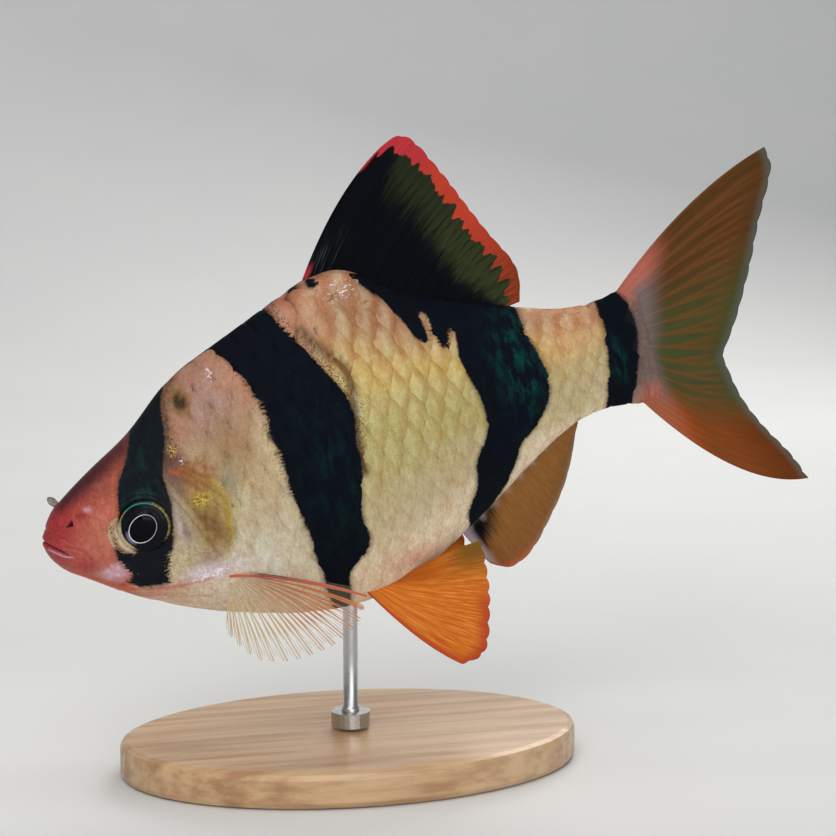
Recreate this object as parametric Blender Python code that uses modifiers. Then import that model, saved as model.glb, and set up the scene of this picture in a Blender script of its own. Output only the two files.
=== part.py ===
"""A tiger barb, life size, nose down as it swims, held over a small plate by one rod.

Sizes are in millimetres in the fish's own frame: X runs from the snout to the tail, Y across the body
and Z up. One empty lowers the nose, lifts the fish to its height and turns millimetres into metres.
The fish looks towards -X, so its left side is the one towards -Y.
"""

import math

import bmesh
import bpy
import numpy as np
from mathutils import Matrix

MM = 0.001
GAP = 0.3  # clearance between a piece and its neighbour
FIT = 0.36  # how far the cutting copy of the body stands outside the body
FIN_THICKNESS = 0.56
FIN_DEPTH = 0.9  # how far the rays of a fin on the back or the belly start within the body
FIN_ROWS = 7
WELD = 0.01
SHARP_ANGLE = math.radians(45.0)

# Pose of the fish on its stand
NOSE_DOWN = math.radians(15.0)
SNOUT_X = -32.85
SNOUT_HEIGHT = 20.0

# Body outline seen from the side: (distance from the snout, height)
BACK_LINE = (
    (0.0, 1.2), (3.2, 3.25), (6.0, 4.8), (9.1, 6.5), (12.4, 9.0), (16.4, 10.8), (22.8, 13.1),
    (25.8, 13.8), (29.5, 12.5), (38.0, 8.6), (42.4, 6.8), (47.0, 5.5), (51.0, 5.9),
)
BELLY_LINE = (
    (0.0, -2.4), (1.4, -3.2), (4.1, -5.3), (9.0, -8.5), (15.7, -11.4), (22.4, -12.9), (27.0, -12.5),
    (32.8, -10.1), (39.0, -6.7), (44.2, -4.1), (47.2, -3.6), (51.0, -4.3),
)
# Height of the widest place, and the body's half width there
SIDE_LINE = ((0.0, -0.5), (8.0, -0.9), (16.0, -0.8), (24.0, -0.5), (34.0, -0.1), (44.0, 0.7), (51.0, 0.8))
HALF_WIDTH = (
    (0.0, 1.55), (3.0, 2.35), (7.8, 3.4), (12.0, 4.15), (17.0, 4.75), (22.0, 4.9), (28.0, 4.5),
    (34.0, 3.55), (40.0, 2.5), (46.0, 1.6), (51.0, 0.55),
)
SNOUT_ROUNDING = 1.7  # length over which the snout closes like a ball
RIDGE_SHARPNESS = 1.12  # 1 is an ellipse, more is keener at the back and the belly
BODY_END = 50.8
BODY_SIDES = 32
NOSE_RINGS = 6
BODY_RINGS = 40
CAP_LENGTH = 1.0

# Where the body is parted
GILL_CENTRE = (8.0, -1.0)
GILL_RADIUS = 6.7
GILL_SPREAD = math.radians(60.0)
GILL_POINTS = 15
NAPE_X = 12.8
THROAT_X = 9.4
COVER_FRONT = 10.5
COVER_TOP = (12.0, 4.9)
COVER_BOTTOM = (11.2, -7.0)
COVER_INSIDE = 2.3
COVER_POINTS = 9
TAIL_ROOT = 43.6
JAW_LINE = ((-1.0, -0.35), (0.3, -0.6), (1.5, -1.4), (2.3, -3.0), (3.8, -7.0))
JAW_SHIFT = 0.75 * GAP  # along X and along Z, so that the slit of the mouth is a gap wide
FAR_OUT = 20.0  # beyond the body above, below and to the sides
AHEAD = -3.0  # a place before the snout
BEHIND = 60.0  # a place behind the flesh

# Eyes
EYE_CENTRE = (7.8, 2.3, -0.6)
EYE_RADIUS = 2.1
EYE_HALF_DEPTH = 1.4
EYE_SEGMENTS = 24
EYE_RINGS = 12

# Unpaired fins: margins from the first ray's tip to the last one's, (x, z)
DORSAL_BASE = (24.9, 40.2)
DORSAL_MARGIN = (
    (34.5, 22.4), (36.2, 22.9), (38.0, 20.8), (39.8, 16.8), (41.6, 12.8), (42.9, 9.4), (42.4, 7.2),
)
DORSAL_BOW = (1.1, 0.0)
DORSAL_RAYS = 15
ANAL_BASE = (32.7, 44.5)
ANAL_MARGIN = ((35.1, -13.9), (36.6, -14.7), (38.6, -14.0), (41.0, -11.7), (43.5, -8.4), (45.2, -4.5))
ANAL_BOW = (-0.3, -0.2)
ANAL_RAYS = 11
ANAL_LEAN = 2.4  # how far the free edge leans to the fish's right
CAUDAL_FRONT = 51.15
CAUDAL_BASE = (5.7, -4.1)
CAUDAL_BOW = (1.2, -2.2)
UPPER_LOBE = ((66.4, 13.5), (66.7, 12.4), (65.9, 10.2), (64.0, 6.6), (61.5, 1.7), (58.7, -2.5))
LOWER_LOBE = ((58.7, -2.5), (59.2, -5.4), (60.9, -9.6), (62.7, -12.7), (63.7, -15.1))
CAUDAL_RAYS = 21
FORK_SHARE = 0.52  # share of the rays above the fork
CAUDAL_SWAY = 1.2

# Paired fins: root line and margin, (x, distance from the middle plane, z)
PELVIC_ROOT = ((23.6, 1.7, -11.6), (26.4, 1.4, -11.7))
PELVIC_MARGIN = (
    (29.6, 2.4, -19.9), (31.2, 2.6, -19.7), (32.6, 2.8, -17.2), (33.4, 3.0, -13.6), (33.6, 3.2, -10.1),
)
PELVIC_BOW = (-0.8, 0.3)
FAR_PELVIC_SWEEP = math.radians(9.0)  # the right one lies a little further back
SPREAD_ROOT = ((12.9, 2.9, -6.1), (13.2, 2.55, -7.2))
SPREAD_MARGIN = (
    (22.6, 6.0, -10.9), (21.7, 7.0, -12.2), (19.3, 8.0, -13.1), (16.4, 8.6, -13.2), (13.2, 8.2, -12.4),
    (11.3, 7.0, -9.6),
)
PECTORAL_BOW = (0.3, -0.3)
PAIRED_RAYS = 10
CLOSED_MARGIN = (
    (23.4, 6.0, -7.6), (23.0, 6.3, -8.8), (21.4, 6.6, -9.9), (19.2, 6.8, -10.5), (16.9, 6.6, -10.6),
    (14.9, 5.8, -10.0),
)

# Stand
BASE_LENGTH = 38.0
BASE_WIDTH = 24.0
BASE_HEIGHT = 3.0
BASE_EDGE = 0.6
BASE_EDGE_STEPS = 2
BASE_SIDES = 48
ROD_X = -8.0
ROD_RADIUS = 0.6
ROD_TOP = 15.2
COLLAR_RADIUS = 1.6
COLLAR_HEIGHT = 1.2
ROD_SIDES = 24

# Colours, red green blue
SALMON = (0.62, 0.20, 0.13)
CREAM = (0.78, 0.70, 0.50)
GOLD = (0.72, 0.58, 0.30)
BLACK = (0.015, 0.018, 0.022)
ORANGE = (0.75, 0.22, 0.04)
PALE_ORANGE = (0.72, 0.42, 0.16)
MAPLE = (0.60, 0.43, 0.27)
STEEL = (0.62, 0.62, 0.60)

# Roughness of each finish
FLESH_ROUGHNESS = 0.4
FIN_ROUGHNESS = 0.45
EYE_ROUGHNESS = 0.08
WOOD_ROUGHNESS = 0.4
STEEL_ROUGHNESS = 0.3


def smooth(points, at):
    """Value at each place in at of the natural cubic curve through points of (place, value)."""
    x, y = np.array(points, dtype=float).T
    count = len(x)
    step = np.diff(x)
    slope = np.diff(y) / step
    matrix = np.eye(count)
    right = np.zeros(count)
    for i in range(1, count - 1):
        matrix[i, i - 1 : i + 2] = (step[i - 1], 2 * (step[i - 1] + step[i]), step[i])
        right[i] = 6 * (slope[i] - slope[i - 1])
    bend = np.linalg.solve(matrix, right)
    i = np.clip(np.searchsorted(x, at, side="right") - 1, 0, count - 2)
    t = at - x[i]
    start = slope[i] - step[i] * (2 * bend[i] + bend[i + 1]) / 6
    return y[i] + t * start + t**2 * bend[i] / 2 + t**3 * (bend[i + 1] - bend[i]) / (6 * step[i])


def along(points, shares):
    """Points at the given shares of the length of a smooth curve through points, in any dimension."""
    points = np.array(points, dtype=float)
    travel = np.concatenate(([0.0], np.cumsum(np.linalg.norm(np.diff(points, axis=0), axis=1))))
    travel /= travel[-1]
    return np.stack([smooth(np.stack((travel, axis), 1), shares) for axis in points.T], axis=1)


def snout_share(x, rounding):
    """How far the section has opened at x: a quarter circle from 0 at the snout to 1."""
    back = 1 - np.clip(x / rounding, 0, 1)
    return np.sqrt(1 - back**2)


def body_rings(extra):
    """Rings of points around the body, each standing extra outside it: an array (ring, side, 3)."""
    nose = SNOUT_ROUNDING * (1 - np.cos(np.linspace(0, math.pi / 2, NOSE_RINGS, endpoint=False)))
    x = np.concatenate((nose, np.linspace(SNOUT_ROUNDING, BODY_END, BODY_RINGS)))
    opening = snout_share(x, SNOUT_ROUNDING)
    side = smooth(SIDE_LINE, x)
    above = (smooth(BACK_LINE, x) - side) * opening + extra
    below = (side - smooth(BELLY_LINE, x)) * opening + extra
    width = smooth(HALF_WIDTH, x) * opening + extra
    turn = np.linspace(0, 2 * math.pi, BODY_SIDES, endpoint=False)[None, :]
    reach = np.where(np.sin(turn) > 0, above[:, None], below[:, None])
    z = side[:, None] + reach * np.sin(turn)
    y = width[:, None] * np.sign(np.cos(turn)) * np.abs(np.cos(turn)) ** RIDGE_SHARPNESS
    stretch = np.interp(x, (0.0, SNOUT_ROUNDING, BODY_END - CAP_LENGTH, BODY_END), (-extra, 0.0, 0.0, extra))
    return np.stack((np.broadcast_to((x + stretch)[:, None], z.shape), y, z), axis=2)


def finish_material(name, colour, roughness, metallic=0.0):
    material = bpy.data.materials.new(name)
    material.use_nodes = True
    shader = material.node_tree.nodes["Principled BSDF"]
    shader.inputs["Base Color"].default_value = (*colour, 1.0)
    shader.inputs["Roughness"].default_value = roughness
    shader.inputs["Metallic"].default_value = metallic
    material.diffuse_color = (*colour, 1.0)
    return material


def add_object(name, mesh, collection, parent, material=None):
    piece = bpy.data.objects.new(name, mesh)
    collection.objects.link(piece)
    piece.parent = parent
    if material:
        mesh.materials.append(material)
    return piece


def hide_cutter(cutter):
    cutter.hide_render = True
    cutter.display_type = "WIRE"
    return cutter


def loft_mesh(name, rings):
    """Closed skin over rings: a pole at the first ring's centre, a flat cap on the last ring."""
    sides = rings.shape[1]
    shell = bmesh.new()
    rows = [[shell.verts.new(point * MM) for point in ring] for ring in rings[1:]]
    pole = shell.verts.new(rings[0].mean(axis=0) * MM)
    for j in range(sides):
        k = (j + 1) % sides
        shell.faces.new((pole, rows[0][j], rows[0][k]))
        for near, far in zip(rows, rows[1:]):
            shell.faces.new((near[j], far[j], far[k], near[k]))
    shell.faces.new(rows[-1])
    bmesh.ops.recalc_face_normals(shell, faces=shell.faces)
    mesh = bpy.data.meshes.new(name)
    shell.to_mesh(mesh)
    shell.free()
    return mesh


def side_prism(name, outline, y_from, y_to, cutters, parent):
    """Cutter whose side view is the closed outline of (x, z), reaching across from y_from to y_to."""
    curve = bpy.data.curves.new(name, "CURVE")
    curve.dimensions = "2D"
    curve.fill_mode = "BOTH"
    curve.extrude = (y_to - y_from) / 2 * MM
    spline = curve.splines.new("POLY")
    spline.points.add(len(outline) - 1)
    for point, (x, z) in zip(spline.points, outline):
        point.co = (x * MM, z * MM, 0.0, 1.0)
    spline.use_cyclic_u = True
    drawn = bpy.data.objects.new(name + "_outline", curve)
    cutters.objects.link(drawn)
    mesh = bpy.data.meshes.new_from_object(drawn.evaluated_get(bpy.context.evaluated_depsgraph_get()))
    bpy.data.objects.remove(drawn)
    upright = Matrix.Translation((0.0, (y_from + y_to) / 2 * MM, 0.0)) @ Matrix.Rotation(math.pi / 2, 4, "X")
    weld = bmesh.new()
    weld.from_mesh(mesh)
    bmesh.ops.remove_doubles(weld, verts=weld.verts, dist=WELD * MM)
    bmesh.ops.transform(weld, matrix=upright, verts=weld.verts)
    bmesh.ops.recalc_face_normals(weld, faces=weld.faces)
    weld.to_mesh(mesh)
    weld.free()
    mesh.name = name
    return hide_cutter(add_object(name, mesh, cutters, parent))


def boolean(piece, cutter, operation):
    modifier = piece.modifiers.new(f"{operation.lower()} {cutter.name}", "BOOLEAN")
    modifier.operation = operation
    modifier.solver = "EXACT"
    modifier.object = cutter


def gill_edge(radius, shift):
    """Side view of the parting behind the gills, from above the nape to below the throat."""
    turns = np.linspace(GILL_SPREAD, -GILL_SPREAD, GILL_POINTS)
    arc = [(GILL_CENTRE[0] + radius * math.cos(a), GILL_CENTRE[1] + radius * math.sin(a)) for a in turns]
    return [(NAPE_X + shift, FAR_OUT), *arc, (THROAT_X + shift, -FAR_OUT)]


def cover_outline(grow):
    """Side view of the gill cover: a forward-bowed front edge, open towards the tail."""
    height = np.linspace(0, 1, COVER_POINTS)
    top = np.array(COVER_TOP) + (-grow, grow)
    bottom = np.array(COVER_BOTTOM) + (-grow, -grow)
    front = top + (bottom - top) * height[:, None]
    bow = (top[0] + bottom[0]) / 2 - (COVER_FRONT - grow)
    front[:, 0] -= bow * 4 * height * (1 - height)
    return [*map(tuple, front), (FAR_OUT, bottom[1]), (FAR_OUT, top[1])]


def make_eye(name, side, radius, half_depth, collection, parent, material=None):
    """A flattened ball looking sideways."""
    ball = bmesh.new()
    bmesh.ops.create_uvsphere(ball, u_segments=EYE_SEGMENTS, v_segments=EYE_RINGS, radius=radius * MM)
    flatten = Matrix.Diagonal((1.0, 1.0, half_depth / radius, 1.0))
    bmesh.ops.transform(ball, matrix=Matrix.Rotation(math.pi / 2, 4, "X") @ flatten, verts=ball.verts)
    mesh = bpy.data.meshes.new(name)
    ball.to_mesh(mesh)
    ball.free()
    mesh.shade_smooth()
    eye = add_object(name, mesh, collection, parent, material)
    eye.location = (EYE_CENTRE[0] * MM, side * EYE_CENTRE[1] * MM, EYE_CENTRE[2] * MM)
    return eye


def fan_mesh(name, roots, tips, bow, lean):
    """Sheet of straight rays from roots to tips, arched by bow in Z and bent by lean in Y."""
    share = np.linspace(0, 1, FIN_ROWS)[None, :]
    sheet = roots[:, None, :] + (tips - roots)[:, None, :] * share[..., None]
    sheet[:, :, 2] += bow[:, None] * 4 * share * (1 - share)
    sheet[:, :, 1] += lean * share**2
    count = len(roots)
    shell = bmesh.new()
    grid = [[shell.verts.new(point * MM) for point in ray] for ray in sheet]
    for i in range(count - 1):
        for j in range(FIN_ROWS - 1):
            shell.faces.new((grid[i][j], grid[i + 1][j], grid[i + 1][j + 1], grid[i][j + 1]))
    mesh = bpy.data.meshes.new(name)
    shell.to_mesh(mesh)
    shell.free()
    mesh.shade_smooth()
    return mesh


def add_fin(name, roots, tips, bow, colour, cutter, place, lean=0.0):
    """A fin: the sheet of its rays made FIN_THICKNESS thick, ending a gap away from the body.

    bow is how far the first and the last ray arch upwards, with the rays between them in step.
    """
    collection, parent = place
    mesh = fan_mesh(name, roots, tips, np.linspace(*bow, len(roots)), lean)
    fin = add_object(name, mesh, collection, parent, finish_material(name, colour, FIN_ROUGHNESS))
    solidify = fin.modifiers.new("thickness", "SOLIDIFY")
    solidify.thickness = FIN_THICKNESS * MM
    solidify.offset = 0.0
    if cutter:
        boolean(fin, cutter, "DIFFERENCE")
    return fin


def ridge_roots(line, base, depth, shares):
    """Root points along the back or the belly line, sunk by depth (below the back, above the belly)."""
    x = base[0] + (base[1] - base[0]) * shares
    return np.stack((x, np.zeros_like(x), smooth(line, x) - depth), axis=1)


def in_plane(points, shares):
    """Margin of an unpaired fin: points of (x, z) put on the middle plane."""
    x, z = along(points, shares).T
    return np.stack((x, np.zeros_like(x), z), axis=1)


def mirrored(points, side):
    return np.array(points) * (1, side, 1)


def swept(points, pivot, angle):
    """Points turned in side view about pivot, towards the tail's underside for a positive angle."""
    x = points[:, 0] - pivot[0]
    z = points[:, 2] - pivot[2]
    turned = points.copy()
    turned[:, 0] = pivot[0] + x * math.cos(angle) - z * math.sin(angle)
    turned[:, 2] = pivot[2] + x * math.sin(angle) + z * math.cos(angle)
    return turned


def build_flesh(place, cutters):
    """The body made whole, then parted by thin cuts into head, jaw, gill covers, trunk and tail."""
    collection, parent = place
    rings = body_rings(0.0)
    arc = gill_edge(GILL_RADIUS, 0.0)
    arc_behind = gill_edge(GILL_RADIUS + GAP, GAP)
    jaw_above = [(x + JAW_SHIFT, z + JAW_SHIFT) for x, z in JAW_LINE]
    jaw_side = (AHEAD, JAW_LINE[-1][1]), (AHEAD, JAW_LINE[0][1])
    nose_side = (AHEAD, -FAR_OUT), (AHEAD, FAR_OUT)
    trunk_end = (TAIL_ROOT, -FAR_OUT), (TAIL_ROOT, FAR_OUT)
    tail_front = (TAIL_ROOT + GAP, FAR_OUT), (TAIL_ROOT + GAP, -FAR_OUT)
    tail_end = (BEHIND, -FAR_OUT), (BEHIND, FAR_OUT)

    def across(name, outline):
        return side_prism(name, outline, -FAR_OUT, FAR_OUT, cutters, parent)

    head_zone = across("head_zone", [*arc, *nose_side])
    trunk_zone = across("trunk_zone", [*arc_behind, *trunk_end])
    tail_zone = across("tail_zone", [*tail_front, *tail_end])
    jaw_zone = across("jaw_zone", [*JAW_LINE, *jaw_side])
    jaw_room = across("jaw_room", [*jaw_above, *jaw_side])

    def flesh(name, colour, zone):
        mesh = loft_mesh(name, rings)
        mesh.shade_smooth()
        piece = add_object(name, mesh, collection, parent, finish_material(name, colour, FLESH_ROUGHNESS))
        boolean(piece, zone, "INTERSECT")
        return piece

    head = flesh("head", SALMON, head_zone)
    boolean(head, jaw_room, "DIFFERENCE")
    jaw_piece = flesh("lower_jaw", SALMON, head_zone)
    boolean(jaw_piece, jaw_zone, "INTERSECT")
    flesh("trunk", CREAM, trunk_zone)
    flesh("tail", CREAM, tail_zone)
    for side, word in ((-1, "left"), (1, "right")):
        reach = sorted((side * COVER_INSIDE, side * FAR_OUT))
        room_reach = sorted((side * (COVER_INSIDE - GAP), side * FAR_OUT))
        zone = side_prism(f"cover_zone_{word}", cover_outline(0.0), *reach, cutters, parent)
        room = side_prism(f"cover_room_{word}", cover_outline(GAP), *room_reach, cutters, parent)
        cover = flesh(f"gill_cover_{word}", GOLD, head_zone)
        boolean(cover, zone, "INTERSECT")
        boolean(head, room, "DIFFERENCE")
        socket = make_eye(
            f"socket_{word}", side, EYE_RADIUS + GAP, EYE_HALF_DEPTH + GAP, cutters, parent)
        boolean(head, hide_cutter(socket), "DIFFERENCE")
        make_eye(
            f"eye_{word}", side, EYE_RADIUS, EYE_HALF_DEPTH, collection, parent,
            finish_material(f"eye_{word}", BLACK, EYE_ROUGHNESS))


def build_fins(place, body_cutter):
    shares = np.linspace(0, 1, DORSAL_RAYS)
    add_fin(
        "dorsal_fin", ridge_roots(BACK_LINE, DORSAL_BASE, FIN_DEPTH, shares), in_plane(DORSAL_MARGIN, shares),
        DORSAL_BOW, BLACK, body_cutter, place)
    shares = np.linspace(0, 1, ANAL_RAYS)
    add_fin(
        "anal_fin", ridge_roots(BELLY_LINE, ANAL_BASE, -FIN_DEPTH, shares), in_plane(ANAL_MARGIN, shares),
        ANAL_BOW, ORANGE, body_cutter, place, lean=ANAL_LEAN)

    shares = np.linspace(0, 1, CAUDAL_RAYS)
    upper = shares <= FORK_SHARE
    margin = np.where(
        upper[:, None],
        in_plane(UPPER_LOBE, np.clip(shares / FORK_SHARE, 0, 1)),
        in_plane(LOWER_LOBE, np.clip((shares - FORK_SHARE) / (1 - FORK_SHARE), 0, 1)))
    root_z = CAUDAL_BASE[0] + (CAUDAL_BASE[1] - CAUDAL_BASE[0]) * shares
    roots = np.stack((np.full_like(shares, CAUDAL_FRONT), np.zeros_like(shares), root_z), axis=1)
    add_fin("caudal_fin", roots, margin, CAUDAL_BOW, PALE_ORANGE, None, place, lean=CAUDAL_SWAY)

    shares = np.linspace(0, 1, PAIRED_RAYS)
    for side, word, sweep in ((-1, "left", 0.0), (1, "right", FAR_PELVIC_SWEEP)):
        tips = swept(along(PELVIC_MARGIN, shares), PELVIC_ROOT[0], sweep)
        add_fin(
            f"pelvic_fin_{word}", mirrored(along(PELVIC_ROOT, shares), side), mirrored(tips, side),
            PELVIC_BOW, ORANGE, body_cutter, place)
    for side, word, margin in ((-1, "left", SPREAD_MARGIN), (1, "right", CLOSED_MARGIN)):
        add_fin(
            f"pectoral_fin_{word}", mirrored(along(SPREAD_ROOT, shares), side),
            mirrored(along(margin, shares), side), PECTORAL_BOW, PALE_ORANGE, body_cutter, place)


def steel_piece(name, radius, bottom, top, place):
    """Upright steel cylinder from bottom to top, on the rod's axis."""
    shape = bmesh.new()
    bmesh.ops.create_cone(
        shape, cap_ends=True, segments=ROD_SIDES, radius1=radius * MM, radius2=radius * MM,
        depth=(top - bottom) * MM)
    mesh = bpy.data.meshes.new(name)
    shape.to_mesh(mesh)
    shape.free()
    mesh.shade_smooth()
    mesh.set_sharp_from_angle(angle=SHARP_ANGLE)
    piece = add_object(name, mesh, *place, finish_material(name, STEEL, STEEL_ROUGHNESS, 1.0))
    piece.location = (ROD_X * MM, 0.0, (bottom + top) / 2 * MM)
    return piece


def build_stand(place, body_cutter):
    """An oval plate, a collar and a slim rod that reaches up to the belly."""
    shape = bmesh.new()
    bmesh.ops.create_cone(
        shape, cap_ends=True, segments=BASE_SIDES, radius1=0.5, radius2=0.5, depth=BASE_HEIGHT * MM)
    oval = Matrix.Diagonal((BASE_LENGTH * MM, BASE_WIDTH * MM, 1.0, 1.0))
    bmesh.ops.transform(shape, matrix=oval, verts=shape.verts)
    mesh = bpy.data.meshes.new("stand_base")
    shape.to_mesh(mesh)
    shape.free()
    base = add_object("stand_base", mesh, *place, finish_material("stand_base", MAPLE, WOOD_ROUGHNESS))
    base.location = (ROD_X * MM, 0.0, BASE_HEIGHT / 2 * MM)
    edge = base.modifiers.new("rounded edge", "BEVEL")
    edge.width = BASE_EDGE * MM
    edge.segments = BASE_EDGE_STEPS
    edge.angle_limit = SHARP_ANGLE
    collar_bottom = BASE_HEIGHT + GAP
    collar_top = collar_bottom + COLLAR_HEIGHT
    steel_piece("stand_collar", COLLAR_RADIUS, collar_bottom, collar_top, place)
    rod_bottom = collar_top + GAP
    rod = steel_piece("stand_rod", ROD_RADIUS, rod_bottom, ROD_TOP, place)
    boolean(rod, body_cutter, "DIFFERENCE")


def main():
    for item in list(bpy.data.objects):
        bpy.data.objects.remove(item)
    scene = bpy.context.scene
    parts = bpy.data.collections.new("tiger_barb")
    cutters = bpy.data.collections.new("cutters")
    scene.collection.children.link(parts)
    scene.collection.children.link(cutters)

    fish = bpy.data.objects.new("fish", None)
    parts.objects.link(fish)
    fish.rotation_euler = (0.0, -NOSE_DOWN, 0.0)
    fish.location = (SNOUT_X * MM, 0.0, SNOUT_HEIGHT * MM)

    body_cutter = hide_cutter(add_object("body_room", loft_mesh("body_room", body_rings(FIT)), cutters, fish))
    build_flesh((parts, fish), cutters)
    build_fins((parts, fish), body_cutter)
    build_stand((parts, None), body_cutter)


main()
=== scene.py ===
# %% [markdown]
# A tiger barb, life size, as a museum would show it: a small deep-bodied fish with four black
# bars, swimming nose down, held over a maple plate by one steel rod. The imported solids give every
# size. This lesson dresses them: one skin with its folds, a coat of scales, eyes, and fins with rays.

# %% Load the fixed frame
import math

import bpy
import numpy as np
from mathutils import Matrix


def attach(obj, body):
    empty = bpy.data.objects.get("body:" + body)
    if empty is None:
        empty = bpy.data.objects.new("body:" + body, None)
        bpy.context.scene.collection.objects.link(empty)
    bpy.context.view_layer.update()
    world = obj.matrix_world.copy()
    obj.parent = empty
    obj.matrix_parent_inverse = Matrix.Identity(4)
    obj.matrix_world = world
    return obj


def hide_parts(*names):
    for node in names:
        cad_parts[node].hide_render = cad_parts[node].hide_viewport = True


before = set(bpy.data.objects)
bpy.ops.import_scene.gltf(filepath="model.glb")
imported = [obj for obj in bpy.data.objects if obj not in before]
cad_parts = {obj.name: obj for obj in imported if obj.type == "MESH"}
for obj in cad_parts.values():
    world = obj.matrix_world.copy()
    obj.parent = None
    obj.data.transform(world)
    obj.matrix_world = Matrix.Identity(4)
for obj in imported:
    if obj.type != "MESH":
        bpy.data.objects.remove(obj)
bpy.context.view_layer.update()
print("solids:", sorted(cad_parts))

# %% [markdown]
# The fish is easiest to describe in its own frame: millimetres, X from the snout to the tail, Y
# across and Z up. The model stands in another one: metres, with the nose lowered by fifteen degrees.
# One function carries points from the first frame to the second, so every piece below can be
# written level and still ends up in the pose. Its left side is the one towards -Y.

# %% From the fish's frame to the room
MM = 0.001
NOSE_DOWN = math.radians(15.0)
SNOUT_X = -32.85
SNOUT_HEIGHT = 20.0
LEFT, RIGHT = -1.0, 1.0


def to_room(points):
    """Turns points nose down about the snout, then lifts them: x cos - z sin and x sin + z cos."""
    x, y, z = np.moveaxis(np.asarray(points, dtype=float), -1, 0)
    ahead = x * math.cos(NOSE_DOWN) - z * math.sin(NOSE_DOWN) + SNOUT_X
    height = x * math.sin(NOSE_DOWN) + z * math.cos(NOSE_DOWN) + SNOUT_HEIGHT
    return np.stack((ahead, y, height), axis=-1) * MM


# %% [markdown]
# The camera looks at the left side from a little ahead of the fish and a little above it. A long
# lens a hand's breadth away keeps the near fins only slightly larger than the far ones.

# %% Camera
CAMERA_AZIMUTH = math.radians(-14.0)
CAMERA_ELEVATION = math.radians(9.0)
CAMERA_AIM = (-2.28, 0.0, 28.64)
CAMERA_DISTANCE = 188.89
LENS = 100.0


def add_camera():
    back = np.array((
        math.sin(CAMERA_AZIMUTH) * math.cos(CAMERA_ELEVATION),
        -math.cos(CAMERA_AZIMUTH) * math.cos(CAMERA_ELEVATION),
        math.sin(CAMERA_ELEVATION),
    ))
    lens = bpy.data.cameras.new("camera")
    lens.lens = LENS
    lens.clip_start = 0.01
    camera = bpy.data.objects.new("camera", lens)
    camera.location = (np.array(CAMERA_AIM) + back * CAMERA_DISTANCE) * MM
    camera.rotation_euler = (math.pi / 2 - CAMERA_ELEVATION, 0.0, CAMERA_AZIMUTH)
    bpy.context.scene.collection.objects.link(camera)
    bpy.context.scene.camera = camera
    return camera


print("camera at", tuple(round(c, 4) for c in add_camera().location))

# %% [markdown]
# A wet fish is mostly seen by what it reflects, so the lamps are wide and soft. The large one above
# and ahead draws the long highlight on the back, the second fills the belly from the front, and a
# third behind the tail lights the fins through.

# %% Soft lamps
def add_lamp(name, place, aim, width, watts, colour):
    """A square lamp at place, in millimetres, turned to face aim."""
    lamp = bpy.data.lights.new(name, "AREA")
    lamp.size = width * MM
    lamp.energy = watts
    lamp.color = colour
    light = bpy.data.objects.new(name, lamp)
    light.location = np.array(place) * MM
    direction = light.location.copy()
    direction.x -= aim[0] * MM
    direction.y -= aim[1] * MM
    direction.z -= aim[2] * MM
    light.rotation_euler = direction.to_track_quat("Z", "Y").to_euler()
    bpy.context.scene.collection.objects.link(light)


FISH_MIDDLE = (0.0, 0.0, 28.0)
add_lamp("key", (-110.0, -190.0, 240.0), FISH_MIDDLE, 190.0, 0.40, (1.0, 0.97, 0.92))
add_lamp("fill", (20.0, -280.0, 30.0), FISH_MIDDLE, 240.0, 0.50, (0.98, 0.98, 1.0))
add_lamp("rim", (120.0, 190.0, 190.0), FISH_MIDDLE, 160.0, 0.34, (1.0, 0.98, 0.95))
add_lamp("wall", (0.0, 60.0, 520.0), (0.0, 430.0, 90.0), 420.0, 1.1, (1.0, 0.99, 0.97))
world = bpy.data.worlds.new("studio")
world.use_nodes = True
world.node_tree.nodes["Background"].inputs["Color"].default_value = (0.86, 0.9, 0.95, 1.0)
world.node_tree.nodes["Background"].inputs["Strength"].default_value = 0.25
bpy.context.scene.world = world
bpy.context.scene.view_settings.view_transform = "Standard"

# %% [markdown]
# Every new piece is a grid of points worked out as one numpy array. A few helpers are enough: the
# faces between neighbours of a grid, poles that close a tube, a check that the faces look outwards,
# and the mesh itself.
# Attributes carry measured values, such as the distance from a fin's ray, to the materials.

# %% Grids into meshes
def grid_quads(rows, columns, wrap=False):
    """Four-sided faces between neighbours of a rows by columns grid, closed across columns if wrap."""
    i = np.arange(rows - 1)[:, None]
    j = np.arange(columns if wrap else columns - 1)[None, :]
    k = (j + 1) % columns
    corners = (i * columns + j, i * columns + k, (i + 1) * columns + k, (i + 1) * columns + j)
    return np.stack(np.broadcast_arrays(*corners), axis=-1).reshape(-1, 4)


def fan_triangles(pole, ring):
    """Three-sided faces from one point to each pair of neighbours around a closed ring."""
    return np.stack((np.full(len(ring), pole), ring, np.roll(ring, -1)), axis=-1)


def closed_rings(grid):
    """Points and faces of a tube: rings of points, closed across, and one pole at the middle of each end."""
    rings, columns = grid.shape[:2]
    poles = np.stack((grid[0].mean(axis=0), grid[-1].mean(axis=0)))
    faces = [
        grid_quads(rings, columns, wrap=True),
        fan_triangles(rings * columns, np.arange(columns)[::-1]),
        fan_triangles(rings * columns + 1, (rings - 1) * columns + np.arange(columns)),
    ]
    return np.concatenate((grid.reshape(-1, 3), poles)), faces


def volume(points, faces):
    """Six times the volume within closed faces: the sum of a . (b x c) over their triangles."""
    total = 0.0
    for k in range(1, faces.shape[1] - 1):
        a, b, c = points[faces[:, 0]], points[faces[:, k]], points[faces[:, k + 1]]
        total += np.einsum("ij,ij->", a, np.cross(b, c))
    return total


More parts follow.
